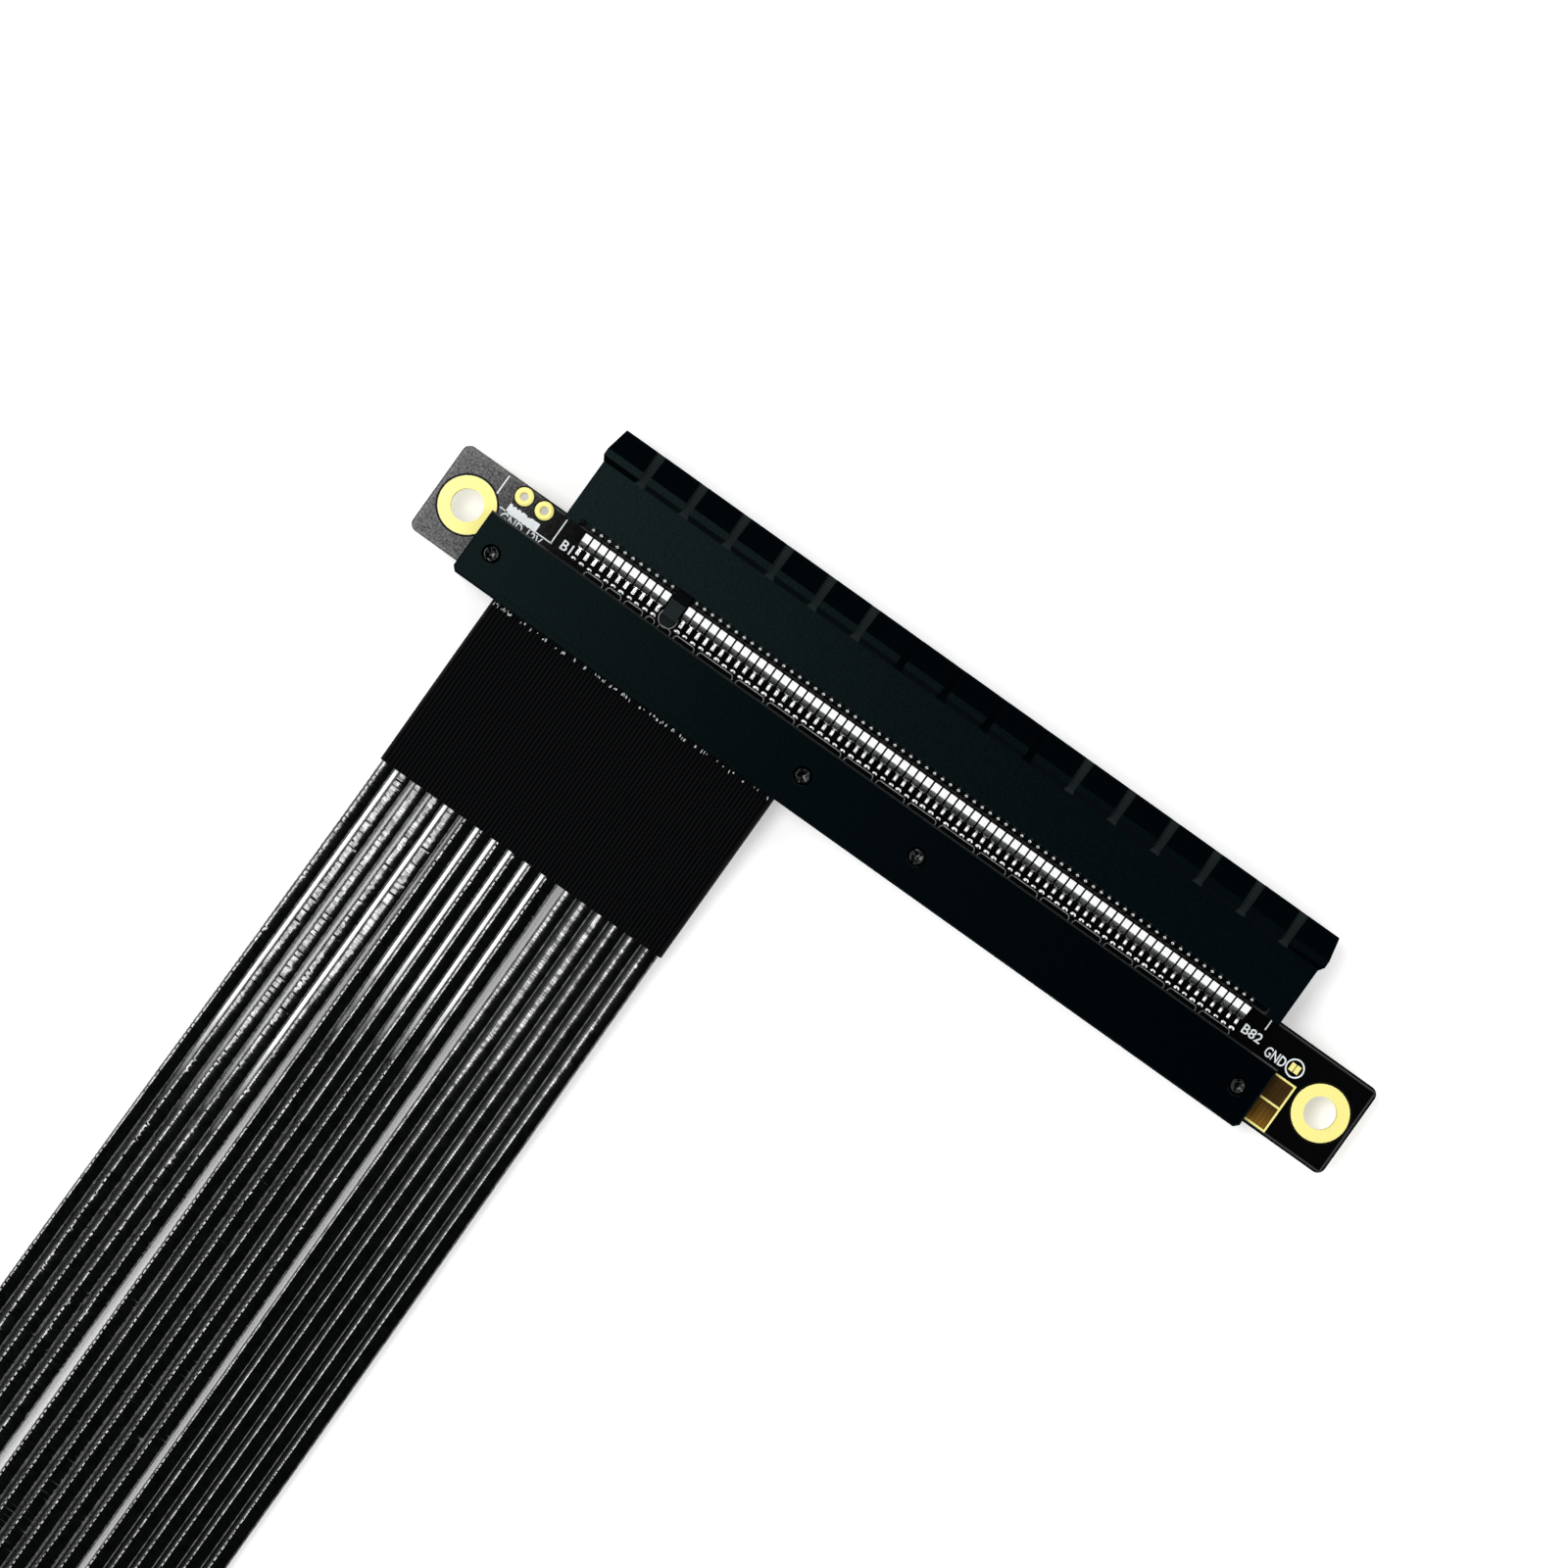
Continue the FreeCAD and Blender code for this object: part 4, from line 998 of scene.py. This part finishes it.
# Hot melt: milky and glossy
hot_melt = make_material(
    "hot_melt", draw_two_shades, {"Scale": 1 / GLUE_MILK, "Detail": 2.0}, "#5A5C5C", "#E8EAEA",
    {"Roughness": 0.25})
glue_shape = bmesh.new()
glue_x = GLUE_LEFT
while glue_x < GLUE_RIGHT:
    bead = bmesh.ops.create_icosphere(glue_shape, subdivisions=2, radius=1.0)["verts"]
    bmesh.ops.scale(glue_shape, verts=bead, vec=[chance.uniform(*ends) * MM for ends in GLUE_SIZES])
    turn = Matrix.Rotation(chance.uniform(-GLUE_TURN, GLUE_TURN), 3, "Z")
    bmesh.ops.rotate(glue_shape, verts=bead, cent=(0, 0, 0), matrix=turn)
    glue_y = GLUE_Y + chance.uniform(-GLUE_STRAY, GLUE_STRAY)
    bmesh.ops.translate(glue_shape, verts=bead, vec=(glue_x, glue_y, GLUE_TOP))
    glue_x += chance.choice(GLUE_STEPS) * MM
add_piece(glue_shape, "glue_beads", "wrap_cloth", hot_melt)


# Plug end: a card edge board of the same laminate with gold fingers, closed by the same cover.
# Its mask stops short of the tongue, whose bevelled edge shows the bare laminate.
TONGUE_BEVEL = 1.2 * MM
dress("plug_board", make_material("plug_mask", draw_solder_mask, *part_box("plug_board"), TONGUE_BEVEL))
for node in ("plug_fingers_b", "plug_fingers_a"):
    dress(node, plating_gold)


# Studio: a white table in a ring of pale cloth under a dark ceiling.
# Two softboxes hang in a row overhead at the left.
# The camera looks straight down on the socket end, as in the photograph.
FLOOR_SIZE = 6.0
FLOOR_GLOW = 0.3
CAMERA_PLACE = Vector((-10.68 * MM, -9.14 * MM, 600 * MM))
CAMERA_TURN = math.atan2(0.5806, 0.8142)
VIEW_WIDTH = 160.9 * MM
SUBJECT_Z = 5 * MM
# Softboxes: their y, and their width along y
SOFTBOXES = ((-0.013, 0.266), (-0.215, 0.09))
SOFTBOX_X, SOFTBOX_Z = -0.23, 0.75
SOFTBOX_WIDTH = 0.26
SOFTBOX_LEVEL = 29
# The room's light from the horizon to straight overhead: height of the direction and brightness
ROOM_LEVELS = ((0.0, "#C0C0C0"), (0.3, "#FFFFFF"), (0.78, "#FFFFFF"), (0.87, "#1E1E20"), (1.0, "#1E1E20"))
ROOM_STRENGTH = 1.35

floor_material = empty_material("table_white")
floor_paint = add_node(floor_material, "ShaderNodeBsdfDiffuse", {"Color": linear("#F4F4F4")})
rays = add_node(floor_material, "ShaderNodeLightPath", {})
seen = add_node(floor_material, "ShaderNodeMath", {
    0: rays.outputs["Is Camera Ray"], 1: rays.outputs["Is Glossy Ray"]}, operation="ADD")
seen = add_node(floor_material, "ShaderNodeMath", {
    0: seen, 1: rays.outputs["Is Transmission Ray"]}, operation="ADD")
glow = add_node(floor_material, "ShaderNodeMath", {0: seen, 1: FLOOR_GLOW}, operation="MULTIPLY")
floor_glow = add_node(floor_material, "ShaderNodeEmission", {"Strength": glow})
floor_surface = add_node(floor_material, "ShaderNodeAddShader", {0: floor_paint, 1: floor_glow})
add_node(floor_material, "ShaderNodeOutputMaterial", {"Surface": floor_surface})

floor_mesh = bpy.data.meshes.new("table")
floor_shape = bmesh.new()
bmesh.ops.create_grid(floor_shape, x_segments=1, y_segments=1, size=FLOOR_SIZE / 2)
floor_shape.to_mesh(floor_mesh)
floor_shape.free()
floor_mesh.materials.append(floor_material)
floor = add_object("table", floor_mesh)

for number, (softbox_y, softbox_length) in enumerate(SOFTBOXES, 1):
    softbox = bpy.data.lights.new(f"softbox_{number}", "AREA")
    softbox.shape = "RECTANGLE"
    softbox.size, softbox.size_y = SOFTBOX_WIDTH, softbox_length
    softbox.energy = SOFTBOX_LEVEL * SOFTBOX_WIDTH * softbox_length
    softbox_holder = add_object(f"softbox_{number}", softbox)
    softbox_holder.location = (SOFTBOX_X, softbox_y, SOFTBOX_Z)
    softbox_holder.visible_camera = False

room = bpy.data.worlds.new("room")
room.use_nodes = True
room.node_tree.nodes.clear()
direction = add_node(room, "ShaderNodeTexCoord", {})
upward = add_node(room, "ShaderNodeSeparateXYZ", {"Vector": direction.outputs["Generated"]})
walls = add_node(room, "ShaderNodeValToRGB", {"Fac": upward.outputs["Z"]})
for i, (height, code) in enumerate(ROOM_LEVELS):
    stops = walls.color_ramp.elements
    stop = stops[i] if i < 2 else stops.new(height)
    stop.position, stop.color = height, linear(code)
room_light = add_node(room, "ShaderNodeBackground", {"Color": walls, "Strength": ROOM_STRENGTH})
add_node(room, "ShaderNodeOutputWorld", {"Surface": room_light})
bpy.context.scene.world = room

camera_data = bpy.data.cameras.new("overhead")
camera_data.lens = camera_data.sensor_width * (CAMERA_PLACE.z - SUBJECT_Z) / VIEW_WIDTH
camera_data.clip_start = 0.01
camera = add_object("overhead", camera_data)
camera.location = CAMERA_PLACE
camera.rotation_euler = (0, 0, CAMERA_TURN)
bpy.context.scene.camera = camera
bpy.context.scene.view_settings.view_transform = "Standard"
